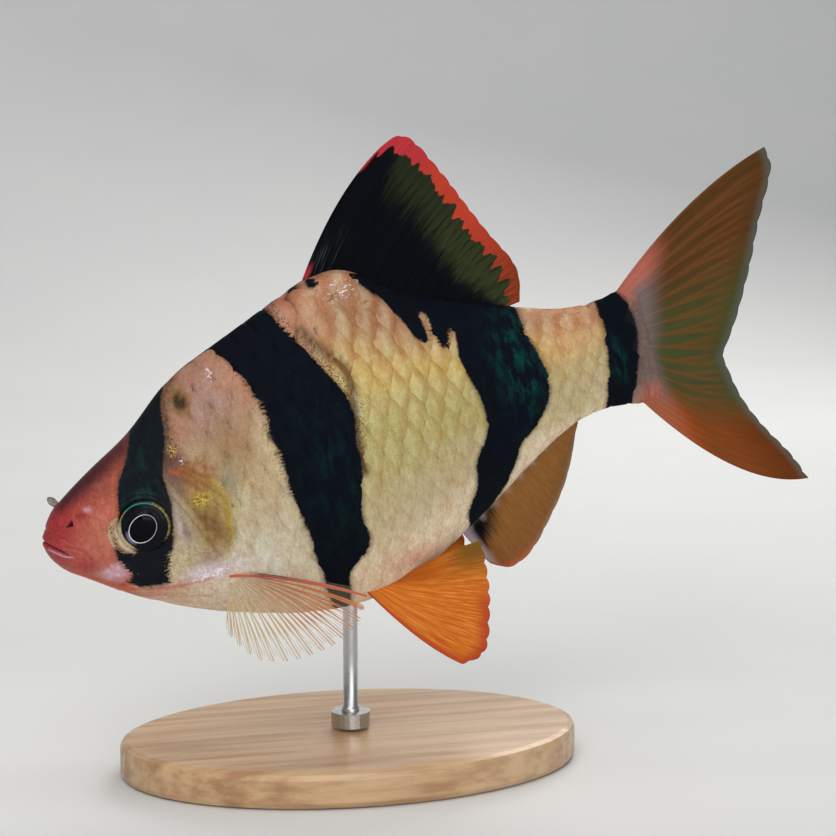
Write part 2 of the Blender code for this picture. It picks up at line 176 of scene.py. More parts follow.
def make_piece(name, points, faces, fields=None, uv=None):
    """One smooth mesh at the origin from points in the room's frame and arrays of faces."""
    inside_out = sum(volume(points - points.mean(axis=0), part) for part in faces) < 0
    if inside_out:
        faces = [part[:, ::-1] for part in faces]
        uv = None if uv is None else [part[:, ::-1] for part in uv]
    sizes = np.concatenate([np.full(len(part), part.shape[1]) for part in faces])
    corners = np.concatenate([part.ravel() for part in faces])
    mesh = bpy.data.meshes.new(name)
    mesh.vertices.add(len(points))
    mesh.vertices.foreach_set("co", points.astype(np.float32).ravel())
    mesh.loops.add(len(corners))
    mesh.loops.foreach_set("vertex_index", corners.astype(np.int32))
    mesh.polygons.add(len(sizes))
    mesh.polygons.foreach_set("loop_start", (np.cumsum(sizes) - sizes).astype(np.int32))
    mesh.update(calc_edges=True)
    mesh.shade_smooth()
    for field, values in (fields or {}).items():
        values = np.asarray(values, dtype=np.float32)
        if values.ndim == 2:
            padded = np.concatenate((values, np.ones((len(values), 1), np.float32)), axis=1)
            mesh.attributes.new(field, "FLOAT_COLOR", "POINT").data.foreach_set("color", padded.ravel())
        else:
            mesh.attributes.new(field, "FLOAT", "POINT").data.foreach_set("value", values)
    if uv is not None:
        layer = mesh.uv_layers.new(name="OFBake")
        flat = np.concatenate([part.reshape(-1, 2) for part in uv]).astype(np.float32)
        layer.uv.foreach_set("vector", flat.ravel())
    piece = bpy.data.objects.new(name, mesh)
    bpy.context.scene.collection.objects.link(piece)
    triangles = int((sizes - 2).sum())
    print(f"{name}: {len(points)} points, {triangles} triangles")
    return piece


def finish(piece, material, slot, *nodes):
    """Gives a piece its material, makes it ride on the fish, and hides the solids it stands for. The slot is
    not used.
    """
    piece.data.materials.append(material)
    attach(piece, "root")
    if nodes:
        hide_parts(*nodes)
    return piece


# %% [markdown]
# Living outlines are smooth curves through a few measured points. The natural cubic curve has no
# kink at its points, and steps of a smooth ramp or a bell join one region of the body to the next.

# %% Smooth curves, ramps and bells
def smooth(points, at):
    """Value at each place in at of the natural cubic curve through points of (place, value)."""
    x, y = np.array(points, dtype=float).T
    count = len(x)
    step = np.diff(x)
    slope = np.diff(y) / step
    matrix = np.eye(count)
    right = np.zeros(count)
    for i in range(1, count - 1):
        matrix[i, i - 1 : i + 2] = (step[i - 1], 2 * (step[i - 1] + step[i]), step[i])
        right[i] = 6 * (slope[i] - slope[i - 1])
    bend = np.linalg.solve(matrix, right)
    i = np.clip(np.searchsorted(x, at, side="right") - 1, 0, count - 2)
    t = at - x[i]
    start = slope[i] - step[i] * (2 * bend[i] + bend[i + 1]) / 6
    return y[i] + t * start + t**2 * bend[i] / 2 + t**3 * (bend[i + 1] - bend[i]) / (6 * step[i])


def along(points, shares):
    """Points at the given shares of the length of a smooth curve through points, in any dimension."""
    points = np.array(points, dtype=float)
    travel = np.concatenate(([0.0], np.cumsum(np.linalg.norm(np.diff(points, axis=0), axis=1))))
    travel /= travel[-1]
    return np.stack([smooth(np.stack((travel, axis), 1), shares) for axis in points.T], axis=-1)


def ramp(value, start, end):
    """Smooth step: 0 at start, 1 at end, t t (3 - 2 t) between."""
    t = np.clip((value - start) / (end - start), 0.0, 1.0)
    return t * t * (3 - 2 * t)


def bell(value, centre, width):
    """Bell curve of height 1 at centre: exp(-((value - centre) / width) squared)."""
    return np.exp(-(((value - centre) / width) ** 2))


def distance_to(curve, x, z, pieces=60):
    """Distance in the side view from each (x, z) to a smooth curve, and its share along the curve there."""
    line = along(curve, np.linspace(0, 1, pieces))
    gap = np.hypot(x[..., None] - line[:, 0], z[..., None] - line[:, 1])
    return gap.min(axis=-1), gap.argmin(axis=-1) / (pieces - 1)


# %% [markdown]
# The body is a loft: at each distance from the snout its cross-section is a pair of half ellipses,
# a higher one above the widest line and a lower one below, drawn in to a keel at the back and the
# belly. Four curves drive it, the same ones as the solids', so the skin lies where they lie. The
# snout opens like a ball. Behind the last bar the flesh thins to a wedge that holds the tail fin.

# %% The body's four driving curves
BACK_LINE = (
    (0.0, 1.2), (3.2, 3.25), (6.0, 4.8), (9.1, 6.5), (12.4, 9.0), (16.4, 10.8), (22.8, 13.1),
    (25.8, 13.8), (29.5, 12.5), (38.0, 8.6), (42.4, 6.8), (47.0, 5.5), (51.0, 5.9),
)
BELLY_LINE = (
    (0.0, -2.4), (1.4, -3.2), (4.1, -5.3), (9.0, -8.5), (15.7, -11.4), (22.4, -12.9), (27.0, -12.5),
    (32.8, -10.1), (39.0, -6.7), (44.2, -4.1), (47.2, -3.6), (51.0, -4.3),
)
SIDE_LINE = ((0.0, -0.5), (8.0, -0.9), (16.0, -0.8), (24.0, -0.5), (34.0, -0.1), (44.0, 0.7), (51.0, 0.8))
HALF_WIDTH = (
    (0.0, 1.55), (3.0, 2.35), (7.8, 3.4), (12.0, 4.15), (17.0, 4.75), (22.0, 4.9), (28.0, 4.5),
    (34.0, 3.55), (40.0, 2.5), (46.0, 1.6), (51.0, 0.55),
)
SNOUT_ROUNDING = 1.7
RIDGE_SHARPNESS = 1.12
WEDGE_START = 51.2
SKIN_END = 52.5


def body_point(x, turn, side):
    """Point of the body at distance x and angle turn above the side line, on the side y < 0 or y > 0.

    z = middle + reach sin(turn), y = width cos(turn) to the power RIDGE_SHARPNESS."""
    opening = np.sqrt(1 - (1 - np.clip(x / SNOUT_ROUNDING, 0, 1)) ** 2)
    closing = np.sqrt(1 - np.clip((x - WEDGE_START) / (SKIN_END - WEDGE_START), 0, 1) ** 2)
    middle = smooth(SIDE_LINE, x)
    above = (smooth(BACK_LINE, x) - middle) * opening
    below = (middle - smooth(BELLY_LINE, x)) * opening
    width = np.maximum(smooth(HALF_WIDTH, x), 0.1) * opening * closing
    rise = np.sin(turn)
    z = middle + np.where(rise > 0, above, below) * rise
    y = side * width * np.abs(np.cos(turn)) ** RIDGE_SHARPNESS
    return np.stack(np.broadcast_arrays(x, y, z), axis=-1)


# %% [markdown]
# Scales must be spaced evenly over the flank, and angles are not even lengths. So the body gets a
# second address: the share of the way from the side line to the back (+1) or to the belly (-1).
# A table of arc lengths, measured once along many sections, turns a share back into an angle.

# %% Even shares of the flank
STATIONS = np.linspace(0.01, SKIN_END, 421)
TURNS = np.linspace(-math.pi / 2, math.pi / 2, 241)
SHARES = np.linspace(-1, 1, 241)


def share_table():
    """For every station: the angle at each share, and the lengths from the side line up and down."""
    section = body_point(STATIONS[:, None], TURNS[None, :], RIGHT)
    steps = np.linalg.norm(np.diff(section, axis=1), axis=2)
    travel = np.concatenate((np.zeros((len(STATIONS), 1)), np.cumsum(steps, axis=1)), axis=1)
    down = travel[:, len(TURNS) // 2]
    up = travel[:, -1] - down
    from_side = travel - down[:, None]
    share = np.where(from_side > 0, from_side / up[:, None], from_side / down[:, None])
    angle = np.stack([np.interp(SHARES, row, TURNS) for row in share])
    return angle, up, down


ANGLE_AT, UP_LENGTH, DOWN_LENGTH = share_table()


def turn_at(x, share):
    """Angle of a share of the flank, read between the four nearest entries of the table."""
    i = np.clip((x - STATIONS[0]) / (STATIONS[1] - STATIONS[0]), 0, len(STATIONS) - 1.001)
    j = np.clip((share + 1) / (SHARES[1] - SHARES[0]), 0, len(SHARES) - 1.001)
    i0, j0 = i.astype(int), j.astype(int)
    fi, fj = i - i0, j - j0
    near = ANGLE_AT[i0, j0] * (1 - fj) + ANGLE_AT[i0, j0 + 1] * fj
    far = ANGLE_AT[i0 + 1, j0] * (1 - fj) + ANGLE_AT[i0 + 1, j0 + 1] * fj
    return near * (1 - fi) + far * fi


def unit(vectors):
    return vectors / np.maximum(np.linalg.norm(vectors, axis=-1, keepdims=True), 1e-9)


def flank(x, share, side):
    """Point at (x, share) and the direction straight out of the body there: across the two tangents."""
    x, share = np.broadcast_arrays(np.asarray(x, float), np.asarray(share, float))
    tiny = 0.02
    point = body_point(x, turn_at(x, share), side)
    ahead = body_point(x + tiny, turn_at(x + tiny, share), side) - point
    higher = body_point(x, turn_at(x, share + tiny), side) - body_point(x, turn_at(x, share - tiny), side)
    return point, unit(-side * np.cross(ahead, higher))


print(f"half girth at the deepest place {UP_LENGTH.max() + DOWN_LENGTH.max():.1f} mm")

# %% [markdown]
# The bars decide what fish this is. Each one lies between a front and a rear edge, and an edge is a
# smooth curve that gives a distance from the snout for each height. One number then describes all
# four: how far inside a bar a point lies. Skin and scales both store it, so their edges agree, and
# the material breaks the edge up into the fine teeth that pigment cells make.

# %% Edges of the four bars: (height, distance from the snout)
EYE_CENTRE = (7.8, -0.6)
SOCKET_RADIUS = 1.97
BAR_EDGES = (
    (
        (
            (-5.8, 6.8), (-4.9, 5.6), (-4.4, 5.9), (-3.5, 5.6), (-2.4, 5.2), (-0.6, 5.9), (2.0, 6.5),
            (3.4, 7.1), (4.3, 7.8), (5.5, 8.5), (6.7, 9.2), (7.6, 9.9), (8.6, 10.9),
        ),
        (
            (-5.7, 8.5), (-4.7, 8.6), (-3.6, 9.0), (-2.6, 9.5), (-0.9, 10.0), (0.9, 10.3), (3.0, 10.35),
            (4.5, 10.9), (6.5, 11.5), (8.5, 12.1), (9.8, 13.2),
        ),
    ),
    (
        (
            (-12.8, 20.9), (-9.7, 20.3), (-6.4, 20.1), (-3.3, 19.7), (1.0, 19.4), (4.4, 19.2), (6.4, 19.0),
            (8.4, 18.3), (10.2, 17.4), (11.7, 16.5),
        ),
        (
            (-12.5, 22.1), (-10.6, 22.3), (-9.1, 22.7), (-8.3, 23.7), (-5.3, 24.5), (-2.1, 25.1), (1.9, 25.7),
            (3.5, 26.0), (4.7, 25.9), (6.1, 25.3), (8.0, 24.4), (9.7, 23.4), (11.9, 22.3), (13.4, 21.7),
        ),
    ),
    (
        (
            (-11.0, 34.3), (-7.9, 33.4), (-6.1, 34.4), (-3.7, 35.0), (-2.7, 35.7), (-1.2, 36.5), (0.0, 36.6),
            (1.4, 36.4), (3.2, 35.9), (5.2, 35.4), (6.2, 34.2), (6.8, 33.3), (8.2, 32.5), (9.6, 31.8),
            (11.4, 30.5), (13.5, 28.9),
        ),
        (
            (-11.0, 34.8), (-7.7, 36.3), (-5.0, 38.6), (-4.0, 39.0), (-3.3, 39.7), (-2.4, 41.1), (-1.2, 42.1),
            (0.3, 42.6), (1.6, 42.6), (4.2, 41.9), (7.1, 41.8),
        ),
    ),
    (
        ((-4.2, 47.0), (0.7, 48.2), (3.1, 48.5), (6.0, 48.6)),
        ((-4.2, 49.6), (-2.2, 50.1), (1.1, 51.3), (3.5, 51.4), (5.7, 50.4)),
    ),
)
PALE_STREAKS = (((33.9, 8.7), (34.0, 7.5), (33.9, 5.8)), ((35.7, 6.9), (35.4, 5.1), (35.1, 3.2)))
BLACK_TONGUE = ((35.0, 9.0), (34.9, 7.4), (34.7, 6.2))
CHEEK_END = -5.7
STREAK_HALF = 0.34
DARK_SCALE = (13.3, 7.8)
BACK_SPOTS = ((24.3, 0.28), (26.1, 0.55), (30.8, 0.45))


def edge(points, z):
    heights = [point[0] for point in points]
    return smooth(points, np.clip(z, min(heights), max(heights)))


def eye_crescent(x, z):
    """Millimetres inside the cream crescent before the eye: 2.06 + 0.88 t to the power 0.6 - distance.

    t falls from 1 straight ahead of the eye to 0 at half a right angle from there."""
    ahead, above = EYE_CENTRE[0] - x, z - EYE_CENTRE[1]
    away = np.maximum(np.hypot(ahead, above), 0.01)
    facing = (0.97 * ahead - 0.24 * above) / away
    reach = 2.06 + 0.88 * np.clip((facing - 0.66) / 0.34, 0, 1) ** 0.6
    return np.minimum(reach - away, 2.4 * (facing - 0.66))


def inside_bars(x, z):
    """Millimetres inside the nearest bar, less than zero outside: the lesser distance to its two edges."""
    depths = [np.minimum(x - edge(front, z), edge(rear, z) - x) for front, rear in BAR_EDGES]
    depths[0] = np.minimum(depths[0], z - CHEEK_END)
    below_back = (smooth(BACK_LINE, x) - z) * 1.5
    along_back = [radius - np.hypot(x - at, below_back - 0.2) for at, radius in BACK_SPOTS]
    depth = np.max([*depths, *along_back], axis=0)
    for streak in PALE_STREAKS:
        depth = np.minimum(depth, distance_to(streak, x, z)[0] - STREAK_HALF)
    depth = np.maximum(depth, STREAK_HALF - distance_to(BLACK_TONGUE, x, z)[0])
    return np.minimum(depth, 0.10 - eye_crescent(x, z))


# %% [markdown]
# The pale ground between the bars is a few pigments laid over each other: cream first, then peach
# down the back, gold along the middle of the flank, olive under it, and salmon to crimson over the
# snout. Each pigment has a soft region of its own. The gill cover adds brass, a yellow rim and a
# mother of pearl edge.

# %% Pigments and outlines
CREAM = (0.57, 0.51, 0.33)
PEACH = (0.44, 0.235, 0.155)
GOLD = (0.65, 0.49, 0.14)
OLIVE = (0.42, 0.40, 0.115)
BELLY = (0.84, 0.74, 0.56)
TAN = (0.28, 0.16, 0.065)
LILAC = (0.33, 0.235, 0.22)
SALMON = (0.52, 0.15, 0.11)
CRIMSON = (0.36, 0.026, 0.038)
PURPLE = (0.06, 0.018, 0.028)
ORANGE_RED = (0.56, 0.11, 0.035)
ROSE_WHITE = (0.70, 0.53, 0.68)
PEARL = (0.72, 0.64, 0.76)
BRASS = (0.19, 0.082, 0.018)
YELLOW = (0.40, 0.30, 0.035)
COPPER = (0.31, 0.115, 0.028)
MAUVE = (0.17, 0.128, 0.125)
DUSK = (0.15, 0.066, 0.056)
RUST = (0.27, 0.070, 0.048)
UMBER = (0.09, 0.048, 0.018)
RUSSET = (0.36, 0.155, 0.062)
NOSTRIL_SHADE = (0.012, 0.006, 0.008)
SMOKE = (0.12, 0.14, 0.11)
EYE_CREAM = (0.40, 0.30, 0.18)
WHITE_SKIN = (0.76, 0.77, 0.68)
HORN = (0.44, 0.31, 0.10)
ASH = (0.33, 0.275, 0.235)
APRICOT = (0.70, 0.38, 0.18)
DARK_BROWN = (0.035, 0.020, 0.012)
DARK_FRINGE = ((23.8, 10.7), (25.1, 8.6), (26.3, 6.9), (26.4, 5.1), (25.9, 2.7), (25.6, -1.4))
COVER_CENTRE = (9.5, -0.8)
COVER_REACH = (
    (-124.0, 5.3), (-98.0, 5.15), (-67.0, 5.3), (-39.0, 5.68), (-14.6, 5.2), (13.0, 5.24), (40.0, 5.11),
    (60.0, 5.78),
)
MOUTH = ((-0.2, 0.25), (0.5, -0.4), (1.1, -0.9), (1.6, -1.3))
LOWER_LIP = ((0.35, -0.62), (0.9, -1.05), (1.45, -1.45), (1.9, -1.62))
GILL_LINE = ((5.6, -5.6), (8.6, -6.2), (11.8, -6.3))
NOSTRIL = (2.45, 0.95)
WRINKLE_SPACING = 0.30
COLUMN_SPACING = 2.05

# %% [markdown]
# A few shapes in the side view say where a colour or a fold lies. The gill cover is an outline
# around one centre, told by its reach in each direction. Most colours need only soft ovals. Two
# crossing waves break a region up, so that no patch looks sprayed on.

# %% Soft regions of the side view
def inside_cover(x, z):
    """Millimetres inside the gill cover: its reach in this direction less the distance from its centre."""
    angle = np.degrees(np.arctan2(z - COVER_CENTRE[1], x - COVER_CENTRE[0]))
    reach = smooth(COVER_REACH, np.clip(angle, COVER_REACH[0][0], COVER_REACH[-1][0]))
    return reach - np.hypot(x - COVER_CENTRE[0], z - COVER_CENTRE[1])


def patch(x, z, centre, size):
    """Soft oval: a bell of the distance from centre measured in the oval's own half sizes."""
    return np.exp(-(((x - centre[0]) / size[0]) ** 2) - ((z - centre[1]) / size[1]) ** 2)


def patches(x, z, spots):
    """Sum of soft ovals, each with its weight, its centre and its half sizes."""
    return sum(weight * patch(x, z, centre, size) for weight, centre, size in spots)


def mottle(x, z):
    """Uneven share between 0.5 and 1: a product of two waves that cross aslant."""
    rising = np.sin(6.1 * x + 2.3 * z + np.sin(3.1 * z))
    falling = np.sin(4.3 * z - 1.7 * x + np.sin(5.3 * x))
    return 0.75 + 0.25 * rising * falling


def nostril_depth(x, z):
    """Millimetres inside the near nostril, a small triangle with its point up and towards the eye."""
    ahead, above = x - NOSTRIL[0], z - NOSTRIL[1]
    front, rear = 0.17 + 0.62 * ahead - 0.78 * above, 0.17 - ahead + 0.1 * above
    return np.minimum(np.minimum(above + 0.13, rear), front)


# %% [markdown]
# The ground is laid like glazes: each layer is a colour and a weight between 0 and 1, worked out for all
# points at once; a few layers are painted shade, in the nostril and along the mouth slit. The trunk comes
# first, then the gill cover, the face and the lips. Upright streaks of russet, about a scale's length apart,
# run through the upper flank.

# %% The pale ground, layer by layer
def ground_colour(x, z):
    """Colour of the pale ground: pigments, and painted shade in the nostril and the mouth slit, mixed in one
    after another, each by its own region's weight.
    """
    def spot(centre_x, centre_z, half_x, half_z):
        return patch(x, z, (centre_x, centre_z), (half_x, half_z))

    middle = smooth(SIDE_LINE, x)
    reach = np.where(z > middle, smooth(BACK_LINE, x) - middle, middle - smooth(BELLY_LINE, x))
    height = np.clip((z - middle) / reach, -1, 1)
    cover = inside_cover(x, z)
    mouth = distance_to(MOUTH, x, z)[0]
    below_mouth = distance_to(LOWER_LIP, x, z)[0]
    gill = distance_to(GILL_LINE, x, z)[0]
    fringe = distance_to(DARK_FRINGE, x, z)[0]
    eye = np.hypot(x - EYE_CENTRE[0], z - EYE_CENTRE[1])
    below_eye = ramp(EYE_CENTRE[1] - z, -0.8, 1.0)
    crescent = eye_crescent(x, z)
    rim_stretch = ramp(x, 12.4, 13.6) * ramp(z, -4.8, -3.0) * (1 - ramp(z, 0.8, 2.8))
    dark_scale = np.hypot(x - DARK_SCALE[0], (z - DARK_SCALE[1]) * 0.8)
    behind_head = ramp(x, 22, 27)
    face = 1 - ramp(x - 0.25 * z, 6.4, 8.6)
    behind_bar = x - edge(BAR_EDGES[0][1], z)
    upright = x - 0.27 * z
    swaying = upright + 0.20 * np.sin(1.7 * z)
    column = np.sin(swaying * 2 * math.pi / COLUMN_SPACING + 0.9 * np.sin(0.43 * upright))
    narrow = np.clip(column, 0, 1) ** 2
    fibres = np.sin(34 * np.arctan2(z - 4.4, x - 9.6) + 2.0 * np.sin(2.3 * x + 1.1 * z))
    layers = (
        (PEACH, ramp(height, 0.25, 0.72)),
        (LILAC, 0.85 * spot(15.3, 6.8, 2.2, 3.0)),
        (TAN, 0.75 * spot(16.1, 3.4, 2.3, 2.4)),
        (TAN, 0.22 * spot(17.2, -1.0, 2.4, 3.6)),
        (TAN, 0.45 * spot(28.3, 11.3, 2.4, 1.5)),
        (GOLD, 0.85 * bell(height, 0.47, 0.2) * behind_head * (1 - 0.6 * ramp(x, 40, 46))),
        (OLIVE, 0.75 * bell(height, 0.08, 0.34) * behind_head * (1 - 0.5 * ramp(x, 40, 46))),
        (BELLY, ramp(-height, 0.40, 0.85)),
        (WHITE_SKIN, 0.85 * spot(16.0, -7.0, 3.6, 4.0)),
        (APRICOT, 0.6 * spot(45.2, 3.4, 3.0, 2.2)),
        (OLIVE, 0.5 * spot(44.8, -2.6, 3.2, 1.4)),
        (ORANGE_RED, 0.45 * spot(28.2, -10.2, 2.8, 1.0)),
        (CRIMSON, 0.50 * spot(23.2, 13.2, 1.5, 0.7)),
        (RUSSET, 0.66 * narrow * ramp(height, 0.34, 0.66) * behind_head * (1 - 0.6 * ramp(x, 40, 43))),
        (TAN, 0.22 * narrow * ramp(x, 13.5, 15.0) * bell(height, 0.15, 0.6)),
        (CREAM, 0.46 * np.clip(-column, 0, 1) * ramp(height, 0.30, 0.6) * behind_head),
        (UMBER, 0.95 * bell(fringe, 0, 0.40)),
        (DARK_BROWN, 0.65 * bell(fringe, 0, 0.28) * mottle(1.4 * x, 1.4 * z)),
        (TAN, 0.9 * ramp(1.05 - dark_scale, 0.0, 0.3)),
        (DARK_BROWN, 0.95 * ramp(0.72 - dark_scale, 0.0, 0.35)),
        (MAUVE, ramp(x, 49.2, 50.2)),
        (SALMON, 0.8 * spot(51.0, 5.3, 1.3, 0.9)),
        (SALMON, 0.75 * spot(51.4, -3.7, 1.6, 1.1)),
        (DUSK, 0.9 * ramp(spot(11.4, 2.8, 1.2, 2.3), 0.05, 0.8)),
        (UMBER, 0.9 * bell(behind_bar, 0.25, 0.45) * ramp(z, 2.2, 4.2) * mottle(2.0 * x, 1.6 * z)),
        (HORN, 0.8 * ramp(spot(12.9, -0.9, 1.6, 4.2), 0.1, 0.8) * ramp(cover, 0.0, 0.4)),
        (BRASS, spot(12.65, -1.4, 1.1, 2.7) * ramp(cover, 0.0, 0.6) * mottle(x, z)),
        (COPPER, ramp(spot(13.0, 2.2, 1.4, 1.3), 0.0, 0.8) * mottle(x, z)),
        (ASH, 0.9 * spot(10.7, -1.4, 0.9, 2.4) * mottle(x, z)),
        (YELLOW, 0.85 * bell(cover, 0.30, 0.38) * rim_stretch),
        (YELLOW, 0.8 * spot(12.6, 0.2, 0.9, 0.65)),
        (ORANGE_RED, 0.75 * spot(11.4, 2.9, 0.6, 0.2)),
        (PEARL, 0.5 * spot(10.45, -1.2, 0.25, 1.0)),
        (CREAM, 0.9 * spot(9.9, -4.1, 0.8, 1.0)),
        (LILAC, 0.6 * spot(12.0, -4.7, 0.9, 0.6)),
        (UMBER, 0.28 * ramp(cover, 0.1, 0.6) * ramp(x, 10.2, 11.0) * np.clip(fibres, 0, 1)),
        (PEARL, spot(12.0, -5.8, 2.5, 0.75)),
        (BELLY, 0.9 * spot(12.5, -8.3, 3.5, 1.5)),
        (SMOKE, 0.6 * spot(15.2, 1.1, 0.45, 1.2)),
        (SALMON, 0.96 * face),
        (CRIMSON, 0.85 * face * (1 - ramp(x - 0.6 * z, 1.2, 4.4))),
        (RUST, 0.9 * face * ramp(height, 0.36, 0.72) * ramp(x, 2.2, 4.6) * mottle(x, 1.5 * z)),
        (PURPLE, 0.95 * face * ramp(height, 0.68, 0.95) * ramp(x, 0.6, 2.6)),
        (ORANGE_RED, 0.65 * face * bell(height, 0.50, 0.30) * bell(x, 7.4, 1.1)),
        (ROSE_WHITE, ramp(spot(4.9, -3.75, 1.35, 0.75), 0.0, 0.9) * mottle(x + 0.4, z)),
        (ORANGE_RED, 0.75 * face * ramp(-height, 0.76, 0.92)),
        (TAN, 0.25 * spot(9.6, -7.6, 2.6, 0.8)),
        (WHITE_SKIN, 0.6 * spot(12.4, -8.3, 2.4, 1.1)),
        (SALMON, 0.65 * spot(7.4, -6.5, 2.6, 0.9) * ramp(-z, 5.4, 6.0)),
        (ORANGE_RED, 0.75 * bell(gill, 0.0, 0.10)),
        (CRIMSON, 0.7 * spot(2.6, -2.6, 0.9, 0.9)),
        (ROSE_WHITE, 0.65 * bell(below_mouth, 0.0, 0.07)),
        # Dark line along the mouth slit: partly the lips' own dark colour, partly painted shade in the groove
        # between them.
        (PURPLE, 0.8 * bell(mouth, 0.0, 0.08)),
        (CRIMSON, 0.8 * spot(3.55, 1.45, 0.32, 0.3)),
        (ROSE_WHITE, 0.5 * spot(4.0, 1.75, 0.3, 0.2)),
        # Painted shade: the nostril pit is darkened nearly to black.
        (NOSTRIL_SHADE, ramp(nostril_depth(x, z), -0.05, 0.08)),
        (EYE_CREAM, 0.85 * ramp(crescent, -0.15, 0.22)),
        (WHITE_SKIN, 0.75 * ramp(crescent, 0.0, 0.2) * bell(eye, 2.22, 0.14) * below_eye),
        (CREAM, 0.7 * ramp(crescent, 0.0, 0.06) * bell(crescent, 0.12, 0.09)),
    )
    colour = np.broadcast_to(np.array(CREAM), (*x.shape, 3)).copy()
    for pigment, weight in layers:
        colour += (np.array(pigment) - colour) * weight[..., None]
    return colour


# %% [markdown]
# What glitters or is peppered on the fish has its own share between 0 and 1, made of soft ovals again: teal
# in the black, brown cells, torn edges, gold leaf and painted sparkle highlights where silver crystals catch
# the light. The materials turn each share into a pattern, and skin and scales store the same shares.

# %% Shares of teal, brown cells, gold and painted sparkle highlights
TEAL_SPOTS = (
    (0.30, (9.0, 4.0), (2.0, 3.4)), (1.0, (40.6, 2.6), (1.9, 4.2)), (1.3, (49.2, 0.3), (0.5, 1.6)),
    (0.22, (23.2, -1.0), (2.4, 7.0)),
)
FLECK_SPOTS = ((0.9, (11.4, 5.6), (0.8, 3.4)), (0.7, (5.3, -0.4), (0.6, 1.7)), (0.45, (5.4, 4.2), (1.6, 2.4)))
RAGGED_SPOTS = (
    (1.0, (7.2, -4.0), (3.6, 1.5)), (0.45, (18.8, 4.0), (1.6, 6.0)), (-0.6, (34.6, 6.6), (1.6, 3.0)),
)
GILT_SPOTS = ((1.0, (12.6, 0.3), (0.9, 0.65)), (0.9, (11.55, 4.5), (0.4, 0.6)))
# Where white sparkle highlights are painted: the throat, the nape and the upper back.
SPARKLE_HIGHLIGHT_SPOTS = (
    (1.25, (11.6, -5.9), (2.2, 0.7)), (0.95, (12.0, 3.6), (0.45, 0.45)), (0.5, (10.4, -2.0), (0.5, 1.6)),
    (0.85, (28.0, 12.6), (1.8, 1.3)), (0.95, (16.2, 9.2), (0.6, 0.9)), (0.45, (12.5, -9.2), (5.0, 1.0)),
)


def eye_folds(x, z):
    """Wrinkles over the eye: waves of the distance from its socket, within a soft ring above it."""
    away = np.hypot(x - EYE_CENTRE[0], z - EYE_CENTRE[1]) - SOCKET_RADIUS
    waves = np.sin(away * 2 * math.pi / WRINKLE_SPACING)
    return waves * bell(away, 0.6, 0.4) * ramp(z - EYE_CENTRE[1], 0.6, 1.8)


def teal_and_fold_highlight_share(x, z):
    """Where the black shines teal: the nape, the rear of the third bar and the middle of the fourth, and the
    crests of the wrinkles over the eye, where it is partly a painted highlight.
    """
    # The crests of the wrinkles over the eye take teal too: partly the skin's teal, partly a painted
    # highlight along each fold.
    return np.clip(patches(x, z, TEAL_SPOTS) + 0.8 * np.clip(eye_folds(x, z), 0, 1), 0, 1)


def fleck_share(x, z):
    """Where single brown cells lie thick: by the eye, behind the first bar, on both edges of the second."""
    front, rear = BAR_EDGES[1]
    at_front = 0.5 * bell(x - edge(front, z), -0.5, 0.7) * ramp(z, -5, 3)
    at_rear = 0.9 * bell(x - edge(rear, z), 0.55, 0.6) * ramp(z, -4, 3)
    return np.clip(patches(x, z, FLECK_SPOTS) + at_front + at_rear, 0, 1)


def ragged_share(x, z):
    """Where the edge of the black is torn into pegs: most below the eye, some on the second bar's front."""
    return patches(x, z, RAGGED_SPOTS)


def gilt_share(x, z):
    """Where gold leafs the skin: the top of the gill cover, and the rear edge of the first bar."""
    return np.clip(patches(x, z, GILT_SPOTS), 0, 1)


def sparkle_highlight_share(x, z):
    """Where white sparkle highlights are painted, for silver crystals catching the light: the throat below
    the gill cover, the nape and the upper back.
    """
    return np.clip(patches(x, z, SPARKLE_HIGHLIGHT_SPOTS), 0, 1)


def scale_mark(x, z):
    """How clearly single scales are drawn: most on the flank behind the second bar, least on the breast."""
    middle = smooth(SIDE_LINE, x)
    mark = 0.25 + 0.75 * patch(x, z - middle, (30.0, 6.0), (7.0, 6.5)) + 0.15 * ramp(x, 38.0, 42.0)
    return np.clip(mark, 0, 1)


def marking_fields(x, z):
    """The values that skin and scales share."""
    return {
        "ground": ground_colour(x, z), "bar": inside_bars(x, z), "teal": teal_and_fold_highlight_share(x, z),
        # The pearl share says where white sparkle highlights are painted.
        "gilt": gilt_share(x, z), "pearl": sparkle_highlight_share(x, z), "fleck": fleck_share(x, z),
        "ragged": ragged_share(x, z),
    }


# %% [markdown]
# The skin is one closed surface from the lips to the tail, so no seam shows between head and trunk.
# It starts as the body itself. Then a relief in the side view moves each point straight in or out:
# the slit of the mouth between two lips, the groove behind the upper jaw, the nostrils, the eye's
# socket with its soft rim, the plates of the cheek, and the gill cover, whose free edge stands over
# the shoulder. Under the scales the skin lies deeper by the coat's thickness.

# %% Relief of the head
SKIN_DEPTH = 0.03
COAT = 0.13
SOCKET_DEPTH = 1.5
HEAD_END = 15.0
SHEATH_X = 28.8
SHEATH_HEIGHT = 1.1
REAR_NOSTRIL = (3.05, 1.25)
LIP_FOLD = ((0.1, 1.15), (0.9, 0.55), (1.6, 0.0), (2.2, -0.6))
JAW_FOLD = ((1.6, -0.7), (2.3, -1.0), (3.0, -1.9), (3.3, -3.3))
CHEEK_FOLD = ((9.9, 2.6), (10.5, 0.2), (10.4, -2.2), (9.4, -4.3), (7.2, -5.4), (5.0, -5.1))
UNDER_EYE = ((4.6, 0.6), (4.8, -1.6), (6.0, -3.4), (8.0, -4.0), (10.0, -3.3))
COVER_PLATE = ((10.8, -4.0), (12.3, -4.2), (13.9, -3.7))
THROAT_FOLDS = (
    ((2.0, -3.0), (4.5, -4.9), (7.5, -6.4)), ((5.0, -5.8), (8.0, -7.1), (11.5, -8.0)),
    ((6.5, -7.3), (9.0, -8.1), (12.0, -9.3)),
)
